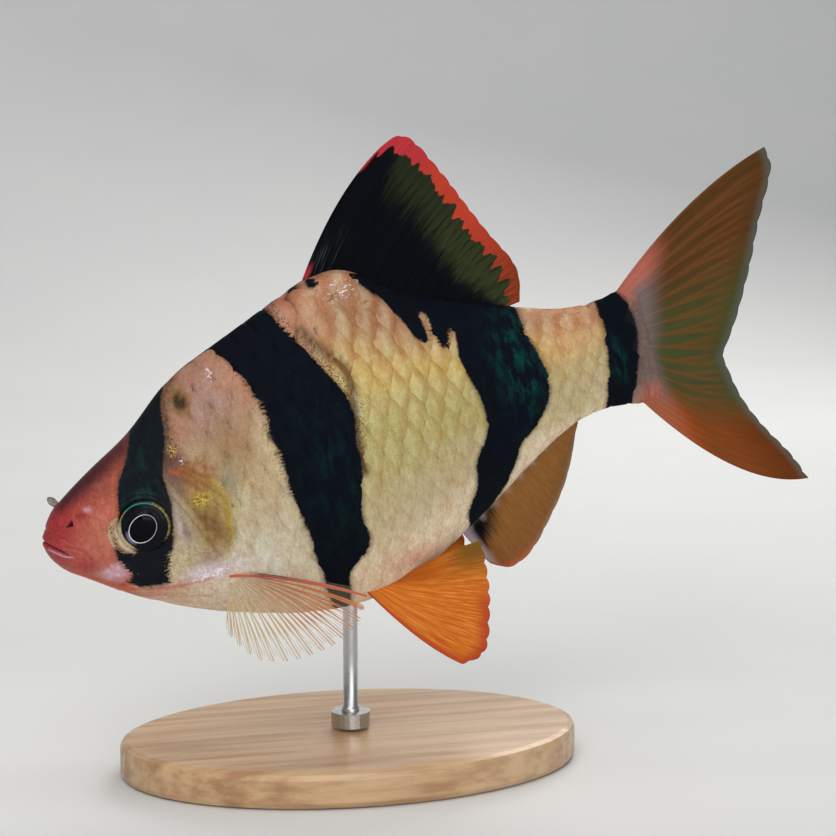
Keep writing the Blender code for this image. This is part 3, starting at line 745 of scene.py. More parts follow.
FOLDS = (
    (LOWER_LIP, 0.035, 0.07), (LIP_FOLD, -0.09, 0.12), (JAW_FOLD, -0.12, 0.13), (UNDER_EYE, -0.05, 0.16),
    (COVER_PLATE, -0.05, 0.12), *((fold, -0.08, 0.14) for fold in THROAT_FOLDS),
)


def head_relief(x, z):
    """Millimetres outwards at each point: bells across folds and rims, a smooth step into the socket."""
    mouth, along_mouth = distance_to(MOUTH, x, z)
    open_mouth = 1 - ramp(along_mouth, 0.8, 1.0)
    eye = np.hypot(x - EYE_CENTRE[0], z - EYE_CENTRE[1])
    rear_nostril = np.hypot(x - REAR_NOSTRIL[0], (z - REAR_NOSTRIL[1]) * 1.3)
    cheek = distance_to(CHEEK_FOLD, x, z)[0]
    relief = -0.26 * bell(mouth, 0, 0.07) * open_mouth
    relief += 0.06 * bell(mouth, 0.28, 0.16) * open_mouth
    relief += 0.022 * np.sin((0.62 * x + z) * 2 * math.pi / 0.42) * patch(x, z, (2.0, -2.3), (1.3, 0.8))
    relief += 0.07 * bell(distance_to(JAW_FOLD, x - 0.35, z)[0], 0, 0.25)
    relief -= 0.28 * ramp(nostril_depth(x, z), -0.05, 0.10) + 0.12 * bell(rear_nostril, 0, 0.2)
    relief += 0.05 * bell(nostril_depth(x, z), -0.14, 0.1)
    relief += 0.05 * (patch(x, z, (3.7, 1.75), (0.2, 0.2)) + patch(x, z, (4.3, 1.2), (0.25, 0.2)))
    relief -= SOCKET_DEPTH * (1 - ramp(eye, SOCKET_RADIUS - 0.1, SOCKET_RADIUS + 0.08))
    relief += 0.09 * bell(eye, SOCKET_RADIUS + 0.22, 0.16)
    relief -= 0.07 * bell(eye, 2.95, 0.2)
    relief += 0.032 * eye_folds(x, z)
    relief -= 0.11 * bell(cheek, 0, 0.16)
    relief += 0.05 * bell(cheek, 0.4, 0.25)
    for fold, height, width in FOLDS:
        relief += height * bell(distance_to(fold, x, z)[0], 0, width)
    return relief


# %% [markdown]
# Two more regions shape the trunk: how much of the scale coat covers each place, and a low wall of
# flesh along the front of the dorsal fin. One function then adds everything up, so skin and scales
# can never disagree about where the surface lies.

# %% Coat, sheath and the skin's whole offset
def coat_share(x, z):
    """0 on the bare head, 1 where scales cover the body: a step at the gill cover, a slope at the nape."""
    cover = inside_cover(x, z)
    step = ramp(-cover, -0.02, 0.14)
    slope = ramp(x, 12.0, 14.0)
    throat = ramp(x - 0.25 * (z + 6.0) - 2.4 * ramp(-z, 2.5, 5.0), 11.6, 13.4)
    return step * np.where(z > 3.0, slope, throat)


def sheath(x, z):
    """Height of the low wall of flesh that hugs the front of the dorsal fin."""
    back = smooth(BACK_LINE, x)
    return SHEATH_HEIGHT * bell(x, SHEATH_X, 2.5) * ramp((z - back) / (back + 0.5), -0.12, 0.0)


def skin_offset(x, z):
    """How far the skin lies outside the solids' surface, less than zero for inside."""
    cover = inside_cover(x, z)
    head = head_relief(x, z) * (1 - ramp(x, HEAD_END - 2, HEAD_END))
    lip_of_cover = 0.04 * bell(cover, 0.3, 0.25) - 0.06 * bell(cover, -0.12, 0.12)
    lip_of_cover = lip_of_cover * ramp(x, 9, 11) * ramp(-z, -3.6, -1.8)
    return head + lip_of_cover + sheath(x, z) - SKIN_DEPTH - (COAT - SKIN_DEPTH) * coat_share(x, z)


# %% [markdown]
# The skin's grid is finest on the head, where the folds are, and has one ring of points after
# another around the body. Both halves are written in one turn, up the right side and down the left
# one, so the keel needs no seam.

# %% Skin from the lips to the tail
NOSE_RINGS = 30
HALF_COLUMNS = 150
POLE_OUT = 0.004


def build_skin():
    """Rings around the body, each point moved along the surface's own direction by skin_offset."""
    nose = SNOUT_ROUNDING * (1 - np.cos(np.linspace(0, math.pi / 2, NOSE_RINGS + 1)[1:]))
    head = np.linspace(SNOUT_ROUNDING, HEAD_END, 170)[1:]
    trunk = np.linspace(HEAD_END, WEDGE_START, 104)[1:]
    wedge = WEDGE_START + (SKIN_END - WEDGE_START) * np.sin(np.linspace(0, math.pi / 2, 12))[1:]
    x = np.concatenate((nose, head, trunk, wedge))[:, None]
    rising = np.linspace(-1, 1, HALF_COLUMNS + 1)[None, :]
    falling = rising[:, -2:0:-1]
    right = body_point(x, turn_at(*np.broadcast_arrays(x, rising)), RIGHT)
    left = body_point(x, turn_at(*np.broadcast_arrays(x, falling)), LEFT)
    base = np.concatenate((right, left), axis=1)
    wrapped = np.concatenate((base[:, -1:], base, base[:, :1]), axis=1)
    around = np.gradient(wrapped, axis=1)[:, 1:-1]
    lengthwise = np.gradient(base, axis=0)
    outwards = unit(np.cross(around, lengthwise))
    offset = skin_offset(base[..., 0], base[..., 2])
    offset = offset * (1 - ramp(x, WEDGE_START, SKIN_END)) - 0.02
    moved = base + outwards * offset[..., None]
    points, faces = closed_rings(moved)
    points[-2:, 0] += (-POLE_OUT, POLE_OUT)
    plain = np.concatenate((base.reshape(-1, 3), points[-2:]))
    return make_piece("skin", to_room(points), faces, marking_fields(plain[:, 0], plain[:, 2]))


skin = build_skin()

# %% [markdown]
# Scales are thin horn plates in staggered rows, each rooted under the one ahead and free at its
# rear edge. The lattice counts scales: k along the body, j up from the side line, with odd rows
# moved on by half a scale. Rows close up where the body narrows.

# %% The lattice of the scales
FIRST_SCALE_X = 9.9
SCALE_LENGTH = 1.80
SCALE_SHORTENING = 0.0045
ROW_HEIGHT = 2.25
DEEPEST = float(UP_LENGTH.max())
SCALE_COLUMNS = 25
SCALE_ROWS = 8


def lattice(k, j):
    """(x, share) of place k, j: k scales behind the first one, and j rows above the side line."""
    x = FIRST_SCALE_X + SCALE_LENGTH * k - SCALE_SHORTENING * k**2
    up = np.interp(x, STATIONS, UP_LENGTH)
    down = np.interp(x, STATIONS, DOWN_LENGTH)
    row = ROW_HEIGHT * np.sqrt((up + down) / (2 * DEEPEST))
    share = j * row / np.where(j > 0, up, down)
    soft = np.sign(share) * (0.9 + 0.095 * np.tanh((np.abs(share) - 0.9) / 0.095))
    return x, np.where(np.abs(share) > 0.9, soft, share), share


# %% [markdown]
# One plate is worked out once and used for all. It is a profile, top, rim and underside, carried
# across its width and pinched to a point above and below. Its outline is round at the hidden front
# and drawn out at the free edge. Each plate also gets a small flat map of its own, a cell in the
# coat's map, so that a baked picture has room for every scale.

# %% One scale and its small map
SCALE_STRIPS = 8
TOP_SHARES = np.array((0.0, 0.48, 0.68, 0.84, 0.987, 1.0))
PLATE = 0.013
WIDEST = 0.28
FRONT_REACH = 0.66
REAR_REACH = 0.78


def scale_outline(b):
    """Front and rear edge of a plate, in lattice lengths, at each share b of its half height."""
    front_part = np.sqrt(np.clip(1 - np.abs(b) ** 2.3, 0, 1))
    rear_part = np.clip(1 - np.abs(b) ** 1.5, 0, 1) ** 0.75
    return WIDEST - FRONT_REACH * front_part, WIDEST + REAR_REACH * rear_part


def scale_shape():
    """Profile shares of one plate: place across b, share from front to rear, and top (1) or underside (0)."""
    b = np.linspace(-1, 1, SCALE_STRIPS + 1)[1:-1]
    profile = np.concatenate((TOP_SHARES, (0.993, 0.02)))
    top = np.array((1, 1, 1, 1, 1, 1, 0, 0), dtype=float)
    front, rear = scale_outline(b)
    a = front[:, None] + (rear - front)[:, None] * profile[None, :]
    shape = np.stack(np.broadcast_arrays(a, b[:, None], top[None, :]), axis=-1).reshape(-1, 3)
    tips = np.array(((WIDEST, -1.0, 0.5), (WIDEST, 1.0, 0.5)))
    return np.concatenate((shape, tips)), len(b), len(profile)


def scale_faces(strips, around):
    """Faces of one plate with their places on its own small map: across b, and around the profile."""
    quads = grid_quads(strips, around, wrap=True)
    width = np.concatenate((TOP_SHARES * 0.72, (0.76, 0.97, 1.0)))
    height = np.linspace(0, 1, strips + 2)
    u0, u1 = np.broadcast_arrays(width[:-1][None, :], width[1:][None, :])
    low, high = height[1:-2][:, None], height[2:-1][:, None]
    corners = ((u0, low), (u1, low), (u1, high), (u0, high))
    quad_map = np.stack([np.stack(np.broadcast_arrays(*corner), axis=-1) for corner in corners], axis=2)
    first_row, last_row = np.arange(around), (strips - 1) * around + np.arange(around)
    low_faces = fan_triangles(strips * around, first_row)[:, [0, 2, 1]]
    high_faces = fan_triangles(strips * around + 1, last_row)
    middle = (width[:-1] + width[1:]) / 2

    def tip_map(tip, row, first, second):
        corners = ((middle, tip), (first, row), (second, row))
        return np.stack([np.stack((u, np.full(around, v)), axis=-1) for u, v in corners], axis=1)

    low_map = tip_map(height[0], height[1], width[1:], width[:-1])
    high_map = tip_map(height[-1], height[-2], width[:-1], width[1:])
    triangles, triangle_map = np.concatenate((low_faces, high_faces)), np.concatenate((low_map, high_map))
    return quads, triangles, quad_map.reshape(-1, 4, 2), triangle_map


# %% [markdown]
# Now every plate is set at its root and bent to the body. It slopes away from the skin towards its
# free edge, by just enough to lie on its neighbours. Small even draws vary its length and its lift,
# because a coat with no variation looks machined. Plates lie flatter on the breast, where the
# photo shows hardly any edges, and follow the sheath of the dorsal fin.

# %% The coat of scales
def has_scale(x, z):
    """The body behind the gill cover, the nape and the throat, as far as the root of the tail fin."""
    behind = np.where(z > 2.6, x > 11.2 + 0.06 * (8.0 - z) ** 2, x > 10.0 - 0.22 * (z + 6.0))
    return behind & (inside_cover(x, z) < 1.3) & (x < 50.4)


def build_scales(name, side, seed):
    """Every plate of one side: the same profile set at each root of the lattice, bent to the body."""
    draw = np.random.default_rng(seed)
    j, k = np.meshgrid(np.arange(-SCALE_ROWS, SCALE_ROWS + 1), np.arange(SCALE_COLUMNS), indexing="ij")
    j, k = j.ravel().astype(float), k.ravel() + 0.5 * (np.abs(j.ravel()) % 2)
    root_x, root_share, true_share = lattice(k, j)
    root = flank(root_x, root_share, side)[0]
    kept = has_scale(root[:, 0] + 0.5, root[:, 2]) & (np.abs(true_share) < 0.99)
    j, k, root = j[kept], k[kept], root[kept]
    count = len(j)
    shape, strips, around = scale_shape()
    a, b, top = shape.T
    reach = 1.0 + draw.uniform(-0.04, 0.04, (count, 1))
    x, share, _ = lattice(k[:, None] + a * reach, j[:, None] + 1.08 * b)
    x = np.minimum(x, SKIN_END - 0.1)
    point, outwards = flank(x, share, side)
    clear = 0.42 + 0.58 * scale_mark(root[:, 0], root[:, 2])[:, None]
    rise = 0.050 + 0.050 * clear * (a + 0.38) / 1.42
    curl = 0.010 * b**2 + 0.012 * ramp(np.abs(a - WIDEST), 0.3, 0.76)
    lift = rise - curl * clear - PLATE * (1 - top) * (1 - 0.9 * np.abs(b) ** 6)
    lift = lift + draw.uniform(-0.004, 0.004, (count, 1))
    room = (1 - ramp(x, 49.5, 52.0) * 0.6) * coat_share(point[..., 0], point[..., 2])
    lift = lift * room - COAT + sheath(point[..., 0], point[..., 2])
    points = point + outwards * lift[..., None]
    quads, triangles, quad_map, triangle_map = scale_faces(strips, around)
    start = (np.arange(count) * len(shape))[:, None, None]
    cell = np.stack((k / (SCALE_COLUMNS + 1), (j + SCALE_ROWS) / (2 * SCALE_ROWS + 1)), axis=-1)
    cell_size = np.array((0.46 / (SCALE_COLUMNS + 1) * 2, 0.9 / (2 * SCALE_ROWS + 1)))
    on_map = [cell[:, None, None, :] + part[None] * cell_size for part in (quad_map, triangle_map)]
    flat = points.reshape(-1, 3)
    fields = marking_fields(flat[:, 0], flat[:, 2])
    at_root = inside_bars(root[:, 0] + 0.6, root[:, 2])
    fields["bar"] = 0.82 * fields["bar"] + 0.18 * np.repeat(at_root, len(shape))
    fields["mark"] = np.repeat(scale_mark(root[:, 0], root[:, 2]), len(shape))
    fields["from_rim"] = np.tile((scale_outline(b)[1] - a), count)
    fields["scale_a"] = np.tile(a, count)
    fields["scale_b"] = np.tile(b, count)
    fields["own"] = np.repeat(draw.uniform(0, 1, count), len(shape))
    faces = [(quads[None] + start).reshape(-1, 4), (triangles[None] + start).reshape(-1, 3)]
    uv = [on_map[0].reshape(-1, 4, 2), on_map[1].reshape(-1, 3, 2)]
    print(f"{name}: {count} scales of {len(quads) + len(triangles)} faces")
    return make_piece(name, to_room(flat), faces, fields, uv)


scales_left = build_scales("scales_left", LEFT, 11)
scales_right = build_scales("scales_right", RIGHT, 12)

# %% [markdown]
# Materials are small networks of nodes. Writing them by hand repeats the same three lines, so a
# short class holds the tree and gives each kind of node one call. What a call gives back adds and
# multiplies like a number, so a finish reads as a formula. Patterns are measured in the fish's
# millimetres: a Mapping node turns Object coordinates back by the same fifteen degrees.

# %% A short hand for materials
class Wire:
    """Output of a node, which adds, subtracts, multiplies and divides like a number."""

    def __init__(self, recipe, socket):
        self.recipe, self.socket = recipe, socket

    def __add__(self, other):
        return self.recipe.sum("ADD", self, other)

    def __sub__(self, other):
        return self.recipe.sum("SUBTRACT", self, other)

    def __rsub__(self, other):
        return self.recipe.sum("SUBTRACT", other, self)

    def __mul__(self, other):
        return self.recipe.sum("MULTIPLY", self, other)

    def __truediv__(self, other):
        return self.recipe.sum("DIVIDE", self, other)


class Recipe:
    """A material being written: every call adds one node and gives back its output."""

    def __init__(self, name):
        self.material = bpy.data.materials.new(name)
        self.material.use_nodes = True
        self.tree = self.material.node_tree
        self.shader = self.tree.nodes["Principled BSDF"]
        self._place = None

    def add(self, kind, inputs=(), **settings):
        made = self.tree.nodes.new(kind)
        for key, value in settings.items():
            setattr(made, key, value)
        for key, value in dict(inputs).items():
            self.put(made.inputs[key], value)
        return made

    def output(self, made, key):
        return Wire(self, made.outputs[key])

    def put(self, socket, value):
        if isinstance(value, Wire):
            self.tree.links.new(value.socket, socket)
        else:
            socket.default_value = value

    def value(self, name, key="Fac"):
        return self.output(self.add("ShaderNodeAttribute", attribute_name=name), key)

    def room(self):
        """The room's own metres."""
        return self.output(self.add("ShaderNodeTexCoord"), "Object")

    def place(self):
        """The fish's own millimetres, from Object coordinates."""
        if self._place is None:
            shift_x, shift_z = SNOUT_X, SNOUT_HEIGHT
            sin, cos = math.sin(NOSE_DOWN), math.cos(NOSE_DOWN)
            mapping = self.add("ShaderNodeMapping")
            mapping.inputs["Location"].default_value = (
                -shift_x * cos - shift_z * sin, 0, shift_x * sin - shift_z * cos)
            mapping.inputs["Rotation"].default_value = (0, NOSE_DOWN, 0)
            mapping.inputs["Scale"].default_value = (1 / MM, 1 / MM, 1 / MM)
            self.put(mapping.inputs["Vector"], self.room())
            self._place = self.output(mapping, "Vector")
        return self._place

    def stretched(self, sx, sy, sz, source=None):
        scale = self.add("ShaderNodeMapping", {"Vector": source or self.place(), "Scale": (sx, sy, sz)})
        return self.output(scale, "Vector")

    def noise(self, scale, detail=3.0, rough=0.55, vector=None):
        made = self.add("ShaderNodeTexNoise", {
            "Vector": vector or self.place(), "Scale": scale, "Detail": detail, "Roughness": rough})
        return self.output(made, "Fac")

    def cells(self, scale, vector=None, randomness=1.0):
        made = self.add("ShaderNodeTexVoronoi", {
            "Vector": vector or self.place(), "Scale": scale, "Randomness": randomness})
        return self.output(made, "Distance")

    def sum(self, operation, a, b=0.0, c=None):
        made = self.add("ShaderNodeMath", operation=operation)
        self.put(made.inputs[0], a)
        self.put(made.inputs[1], b)
        if c is not None:
            self.put(made.inputs[2], c)
        return self.output(made, 0)

    def most(self, a, b):
        return self.sum("MAXIMUM", a, b)

    def linear(self, a, factor, plus):
        """a factor + plus."""
        return self.sum("MULTIPLY_ADD", a, factor, plus)

    def point(self, x, y=0.0):
        """A place made of two values, to draw a pattern along a fin's own directions."""
        return self.output(self.add("ShaderNodeCombineXYZ", {"X": x, "Y": y}), 0)

    def step(self, value, start, end, low=0.0, high=1.0):
        made = self.add("ShaderNodeMapRange", {
            "Value": value, "From Min": start, "From Max": end, "To Min": low, "To Max": high,
        }, interpolation_type="SMOOTHSTEP")
        return self.output(made, "Result")

    def mix(self, share, a, b, blend="MIX"):
        made = self.add("ShaderNodeMix", data_type="RGBA", blend_type=blend)
        self.put(made.inputs[0], share)
        self.put(made.inputs[6], a if isinstance(a, Wire) else (*a, 1.0))
        self.put(made.inputs[7], b if isinstance(b, Wire) else (*b, 1.0))
        return self.output(made, 2)

    def bump(self, height, millimetres, strength=1.0, normal=None):
        made = self.add("ShaderNodeBump", {
            "Height": height, "Distance": millimetres * MM, "Strength": strength})
        if normal is not None:
            self.put(made.inputs["Normal"], normal)
        return self.output(made, "Normal")

    def shine(self, **values):
        """Sets the shader's own sockets by name, with _ for a space."""
        for key, value in values.items():
            name = key.replace("_", " ")
            self.put(self.shader.inputs[name], value)
        return self.material


# %% [markdown]
# Skin and scales share one account of colour. The pale ground is varied by soft blotches and fine
# grains. The black is added where the stored depth inside a bar, shaken by two noises, passes zero:
# a coarse one makes the edge wander and a fine one, stretched along the body, makes its teeth.
# Sparks of teal and gold lie in the black, and freckles of single pigment cells beside it. White sparkle
# highlights are painted where silver crystals catch the light.

# %% Colour of the fish
TOOTH = 0.10
BLACK_ROUGHNESS = 0.38
BLACK = (0.0015, 0.002, 0.004)
NAVY = (0.002, 0.005, 0.010)
TEAL = (0.001, 0.052, 0.048)
BROWN = (0.055, 0.026, 0.012)
GOLD_LEAF = (0.80, 0.56, 0.12)
SPARKLE_HIGHLIGHT = (0.86, 0.80, 0.92)
RIM_BROWN = (0.30, 0.105, 0.032)
PAINTED_SHEEN = (0.95, 0.86, 0.62)


def fish_colour(recipe, vein):
    """Ground, veins, freckles, bars, gold and painted sparkle highlights; vein says how dark the veins are
    drawn.

    Gives the colour, the share of black and a fine grain."""
    mix, step, noise, value, linear = recipe.mix, recipe.step, recipe.noise, recipe.value, recipe.linear
    ground, bar = value("ground", "Color"), value("bar")
    blotch = noise(0.8, 4.0, 0.6)
    grain = noise(7.0, 4.0, 0.7)
    streaks = noise(1.0, 4.0, 0.7, recipe.stretched(3.4, 3.4, 1.2))
    colour = mix(step(blotch, 0.35, 0.65, 0.0, 0.35), ground, (0.88, 0.66, 0.46), "MULTIPLY")
    colour = mix(step(streaks, 0.42, 0.68, 0.0, 0.45), colour, (0.72, 0.56, 0.44), "MULTIPLY")
    colour = mix(step(streaks, 0.46, 0.28, 0.0, 0.6), colour, (1.28, 1.25, 1.2), "MULTIPLY")
    colour = mix(step(grain, 0.35, 0.75, 0.0, 0.5), colour, (0.74, 0.65, 0.57), "MULTIPLY")
    veins = recipe.sum("ABSOLUTE", noise(1.7, 5.0, 0.65) - 0.5)
    colour = mix(step(veins, 0.035, 0.0, 0.0, vein), colour, (0.62, 0.42, 0.36), "MULTIPLY")
    reach = linear(value("ragged"), TOOTH * 5.5, TOOTH)
    teeth = noise(1.0, 4.0, 0.75, recipe.stretched(1.6, 5.0, 5.2))
    teeth = linear(teeth, 4.4, -2.2) * reach
    wander = linear(noise(0.9, 2.0), TOOTH * 1.2, -TOOTH * 0.6)
    shaken = bar + wander + teeth
    black = step(shaken, -0.1, 0.08)
    fringe = step(shaken, -0.45, 0.0)
    brown = recipe.sum("MINIMUM", linear(value("ragged"), 0.8, 0.5), 0.6)
    colour = mix(fringe * recipe.most(brown, 0.0), colour, BROWN)
    cell = linear(noise(9.0, 2.0), 0.6, recipe.cells(5.2))
    crowd = linear(noise(1.3, 2.0), 1.0, value("fleck"))
    near = recipe.most(step(crowd + bar, 0.1, 0.8), step(crowd, 0.7, 1.3))
    freckle = step(linear(near, -0.24, cell), 0.54, 0.36)
    colour = mix(freckle * near * 0.8, colour, BROWN)
    spark = step(noise(1.0, 4.0, 0.65, recipe.stretched(1.5, 1.5, 0.55)), 0.42, 0.64)
    teal = value("teal") * step(noise(1.1, 2.0), 0.3, 0.6, 0.3, 1.0)
    dark = mix(spark * teal, mix(blotch, BLACK, NAVY), TEAL)
    colour = mix(black, colour, dark)
    ridges = recipe.sum("ABSOLUTE", noise(3.2, 4.0, 0.7) - 0.5)
    leaf = step(linear(value("gilt"), -0.045, ridges), -0.004, -0.022)
    # Painted highlight: white sparkle where silver crystals catch the light, thickest where the pearl share
    # is high.
    sparkle_noise = noise(3.6, 4.0, 0.7, recipe.stretched(1.0, 1.0, 1.4))
    sparkle_highlight = step(linear(value("pearl"), 0.26, sparkle_noise), 0.72, 0.84)
    cracks = step(noise(4.2, 3.0, 0.7, recipe.stretched(1.0, 1.0, 0.7)), 0.53, 0.42)
    cracks = cracks * step(value("gilt"), 0.25, 0.9, 0.0, 0.65)
    colour = mix(cracks, colour, BROWN)
    colour = mix(leaf, colour, GOLD_LEAF)
    colour = mix(sparkle_highlight * 0.85, colour, SPARKLE_HIGHLIGHT)
    return colour, black, grain


# %% [markdown]
# Skin and scales are wet, but a mirror finish would hide the colours. The shine is broken up by the same
# grain that colours them, and black skin is rougher than pale skin, which keeps it black under the lamps.
# Lines near each scale's rim, and a painted pearly sheen inside them, are drawn from the stored distance to
# its free edge.

# %% Finish of skin and scales
def skin_material():
    """Wet skin: leather folds, pores and grain. The black is duller, so that it stays black under a lamp."""
    recipe = Recipe("wet_skin")
    bump = recipe.bump
    colour, black, grain = fish_colour(recipe, 0.5)
    normal = bump(recipe.noise(2.2, 5.0, 0.6), 0.14, 0.5)
    normal = bump(recipe.step(recipe.cells(5.0), 0.0, 0.35), 0.03, 0.4, normal)
    normal = bump(grain, 0.03, 0.5, normal)
    rough = recipe.linear(black, BLACK_ROUGHNESS, recipe.step(grain, 0.3, 0.75, 0.3, 0.45))
    return recipe.shine(
        Base_Color=colour, Roughness=rough, Normal=normal, Coat_Weight=0.04, Coat_Roughness=0.15,
        Specular_IOR_Level=0.14, Subsurface_Weight=0.08, Subsurface_Scale=0.0006)


def scale_material():
    """The fish's colour, with an orange brown line at each free edge and a painted pearly sheen inside it."""
    recipe = Recipe("pearly_scale")
    step, noise, value, bump = recipe.step, recipe.noise, recipe.value, recipe.bump
    colour, black, grain = fish_colour(recipe, 0.16)
    pale = 1.0 - black
    drawn = pale * value("mark") * 0.48
    from_rim = value("from_rim")
    own = value("own")
    ragged = recipe.linear(noise(2.4, 4.0, 0.6), 0.3, from_rim - 0.15)
    line = step(ragged, 0.46, 0.0)
    line = line * step(noise(0.7, 3.0), 0.35, 0.65, 0.35, 1.0)
    colour = recipe.mix(line * drawn, colour, RIM_BROWN)
    # Painted sheen: a pale pearly band inside each rim line, stronger on some scales than on others.
    painted_sheen = step(ragged, 0.25, 0.5) * step(ragged, 0.95, 0.55)
    painted_sheen = painted_sheen * step(own, 0.0, 1.0, 0.05, 0.3)
    colour = recipe.mix(painted_sheen * drawn, colour, PAINTED_SHEEN, "SCREEN")
    fan = value("scale_b") / (value("scale_a") + 0.9)
    rays = recipe.sum("SINE", fan * 70.0)
    rings = recipe.sum("SINE", from_rim * 95.0)
    normal = bump(rings, 0.005, 0.4)
    normal = bump(rays, 0.006, 0.4, normal)
    normal = bump(noise(1.6, 3.0), 0.1, 0.4, normal)
    normal = bump(grain, 0.03, 0.6, normal)
    rough = recipe.linear(black, BLACK_ROUGHNESS, step(grain, 0.3, 0.75, 0.28, 0.46))
    metal = pale * 0.14
    return recipe.shine(
        Base_Color=colour, Roughness=rough, Normal=normal, Metallic=metal, Specular_IOR_Level=0.06)


SKIN_NODES = ("head", "lower_jaw", "gill_cover_left", "gill_cover_right", "trunk", "tail")
finish(skin, skin_material(), "flesh_head", *SKIN_NODES)
coat_finish = scale_material()
finish(scales_left, coat_finish, "flesh_body")
finish(scales_right, coat_finish, "flesh_body")

# %% [markdown]
# A fish's eye has no lids: a hard clear dome over a flat iris, set in a soft socket. It is turned
# on a lathe here. The pupil is an oval, so a second radius is measured in the oval's own half
# sizes, and a fine bright ring, the dark iris and the gold outer ring follow the two radii.

# %% Eyes
EYE_Y = 3.28
EYE_RADIUS = 2.06
EYE_TILT = 0.17
DOME = 0.46
PUPIL_CENTRE = (-0.16, -0.08)
PUPIL_HALVES = (1.17, 0.96)
PUPIL_TURN = math.radians(40.0)


def build_eye(name, side):
    """Turned dome: outwards = DOME (1 - r squared) to the power 0.8, with a trough in the iris."""
    front = np.concatenate((np.linspace(0.02, 0.80, 60), np.linspace(0.80, 1.0, 16)[1:])) * EYE_RADIUS
    back_r = EYE_RADIUS * np.array((0.99, 0.93, 0.75, 0.4, 0.05))
    back_y = np.array((-0.08, -0.35, -0.75, -0.98, -1.05))
    angle = np.linspace(0, 2 * math.pi, 120, endpoint=False)
    r = np.concatenate((front, back_r))[:, None]
    is_front = np.arange(len(r))[:, None] < len(front)
    dx = r * np.cos(angle)
    dz = r * np.sin(angle)
    from_x, from_z = dx - PUPIL_CENTRE[0], dz - PUPIL_CENTRE[1]
    tilted_x = from_x * math.cos(PUPIL_TURN) + from_z * math.sin(PUPIL_TURN)
    tilted_z = from_z * math.cos(PUPIL_TURN) - from_x * math.sin(PUPIL_TURN)
    oval = np.hypot(tilted_x / PUPIL_HALVES[0], tilted_z / PUPIL_HALVES[1])
    dome = DOME * np.clip(1 - (r / EYE_RADIUS) ** 2, 0, 1) ** 0.8
    relief = 0.03 * bell(oval, 1.04, 0.05) - 0.05 * bell(oval, 1.3, 0.14) + 0.03 * bell(r, 1.85, 0.1)
    behind = np.concatenate((np.zeros(len(front)), back_y))[:, None]
    depth = EYE_Y + np.where(is_front, dome + relief, behind) + EYE_TILT * dx
    x = np.broadcast_to(EYE_CENTRE[0] + dx, depth.shape)
    z = np.broadcast_to(EYE_CENTRE[1] + dz, depth.shape)
    points, faces = closed_rings(np.stack((x, side * depth, z), axis=-1))
    fields = {
        "oval": np.append(oval.ravel(), (0, 9)),
        "radius": np.append(np.broadcast_to(r, depth.shape).ravel(), (0, 0)),
        "forward": np.append((-dx / r).ravel(), (0, 0)),
        "upward": np.append((dz / r).ravel(), (0, 0)),
    }
    return make_piece(name, to_room(points), faces, fields)


def eye_material():
    recipe = Recipe("clear_eye")
    mix, step, value = recipe.mix, recipe.step, recipe.value
    oval, radius = value("oval"), value("radius")
    forward, upward = value("forward"), value("upward")
    speck = recipe.noise(7.0, 4.0, 0.75)
    iris = mix(step(speck, 0.45, 0.7), (0.002, 0.003, 0.006), (0.009, 0.01, 0.016))
    low_front = step(recipe.linear(upward, -0.25, forward), 0.66, 0.98)
    from_edge = radius - step(low_front, 0.0, 1.0, 1.82, 1.74)
    gold = mix(step(speck, 0.4, 0.62), (0.42, 0.32, 0.09), (0.07, 0.05, 0.02))
    cream = mix(step(speck, 0.56, 0.64), (0.46, 0.37, 0.22), (0.04, 0.025, 0.02))
    teal = step(upward, 0.7, 0.92)
    arc = mix(teal, gold, (0.012, 0.2, 0.14))
    thin = step(from_edge, 0.0, 0.05) * step(from_edge, 0.14, 0.08)
    outer = step(from_edge, 0.11, 0.15) * step(forward, -0.25, -0.65)
    thin = recipe.most(thin, outer * step(speck, 0.6, 0.42, 0.3, 0.9))
    thin = thin * step(upward, -0.85, -0.55)
    colour = mix(thin, iris, arc)
    wide = step(from_edge, 0.0, 0.1) * low_front
    colour = mix(wide, colour, cream)
    glint = recipe.linear(upward, -0.42, forward * 0.9)
    glint = step(glint, 0.86, 0.99) * step(oval, 1.35, 1.1)
    colour = mix(glint * 0.5, colour, (0.4, 0.36, 0.62))
    edge_ring = step(oval, 0.99, 1.01) * step(oval, 1.06, 1.035)
    ring = mix(step(forward, -0.7, 0.4), (0.4, 0.38, 0.36), (0.82, 0.76, 0.76))
    colour = mix(edge_ring, colour, ring)
    colour = mix(step(oval, 1.0, 0.98), colour, (0.0008, 0.0008, 0.003))
    rough = step(oval, 0.95, 1.1, 0.03, 0.25)
    normal = recipe.bump(speck * step(oval, 1.0, 1.2), 0.02, 0.4)
    return recipe.shine(
        Base_Color=colour, Roughness=rough, Normal=normal, Coat_Weight=0.12, Coat_Roughness=0.02,
        Coat_IOR=1.33, Specular_IOR_Level=0.06)


eye_finish = eye_material()
for word, side in (("left", LEFT), ("right", RIGHT)):
    finish(build_eye(f"eyeball_{word}", side), eye_finish, "eye", f"eye_{word}")


# %% [markdown]
# A fin is a fan of bony rays joined by a thin web. Each ray is single at its root and forks once or
# twice on the way out. Folding the distance to the nearest ray by the width of each fork gives the
# distance to the nearest branch with no list of branches: | | d | - first fork | - second fork.
# That one number raises the ray in the mesh and colours it. The sheet is closed all round.

# %% Fins: a sheet of rays
LEAD_WIDTH = 0.42
LEAD_TAPER = 0.8
SHEET_TAPER = 0.72


def branch_distance(phase, v, single):
    """Distance to the nearest branch of the nearest ray, in ray spacings; the first few stay single."""
    d = np.abs(phase - np.round(phase))
    forked = ramp(np.round(phase), single - 0.5, single + 0.5)
    first = 0.25 * ramp(v, 0.30, 0.85) * forked
    second = 0.12 * ramp(v, 0.60, 1.0) * forked
    return np.abs(np.abs(d - first) - second)


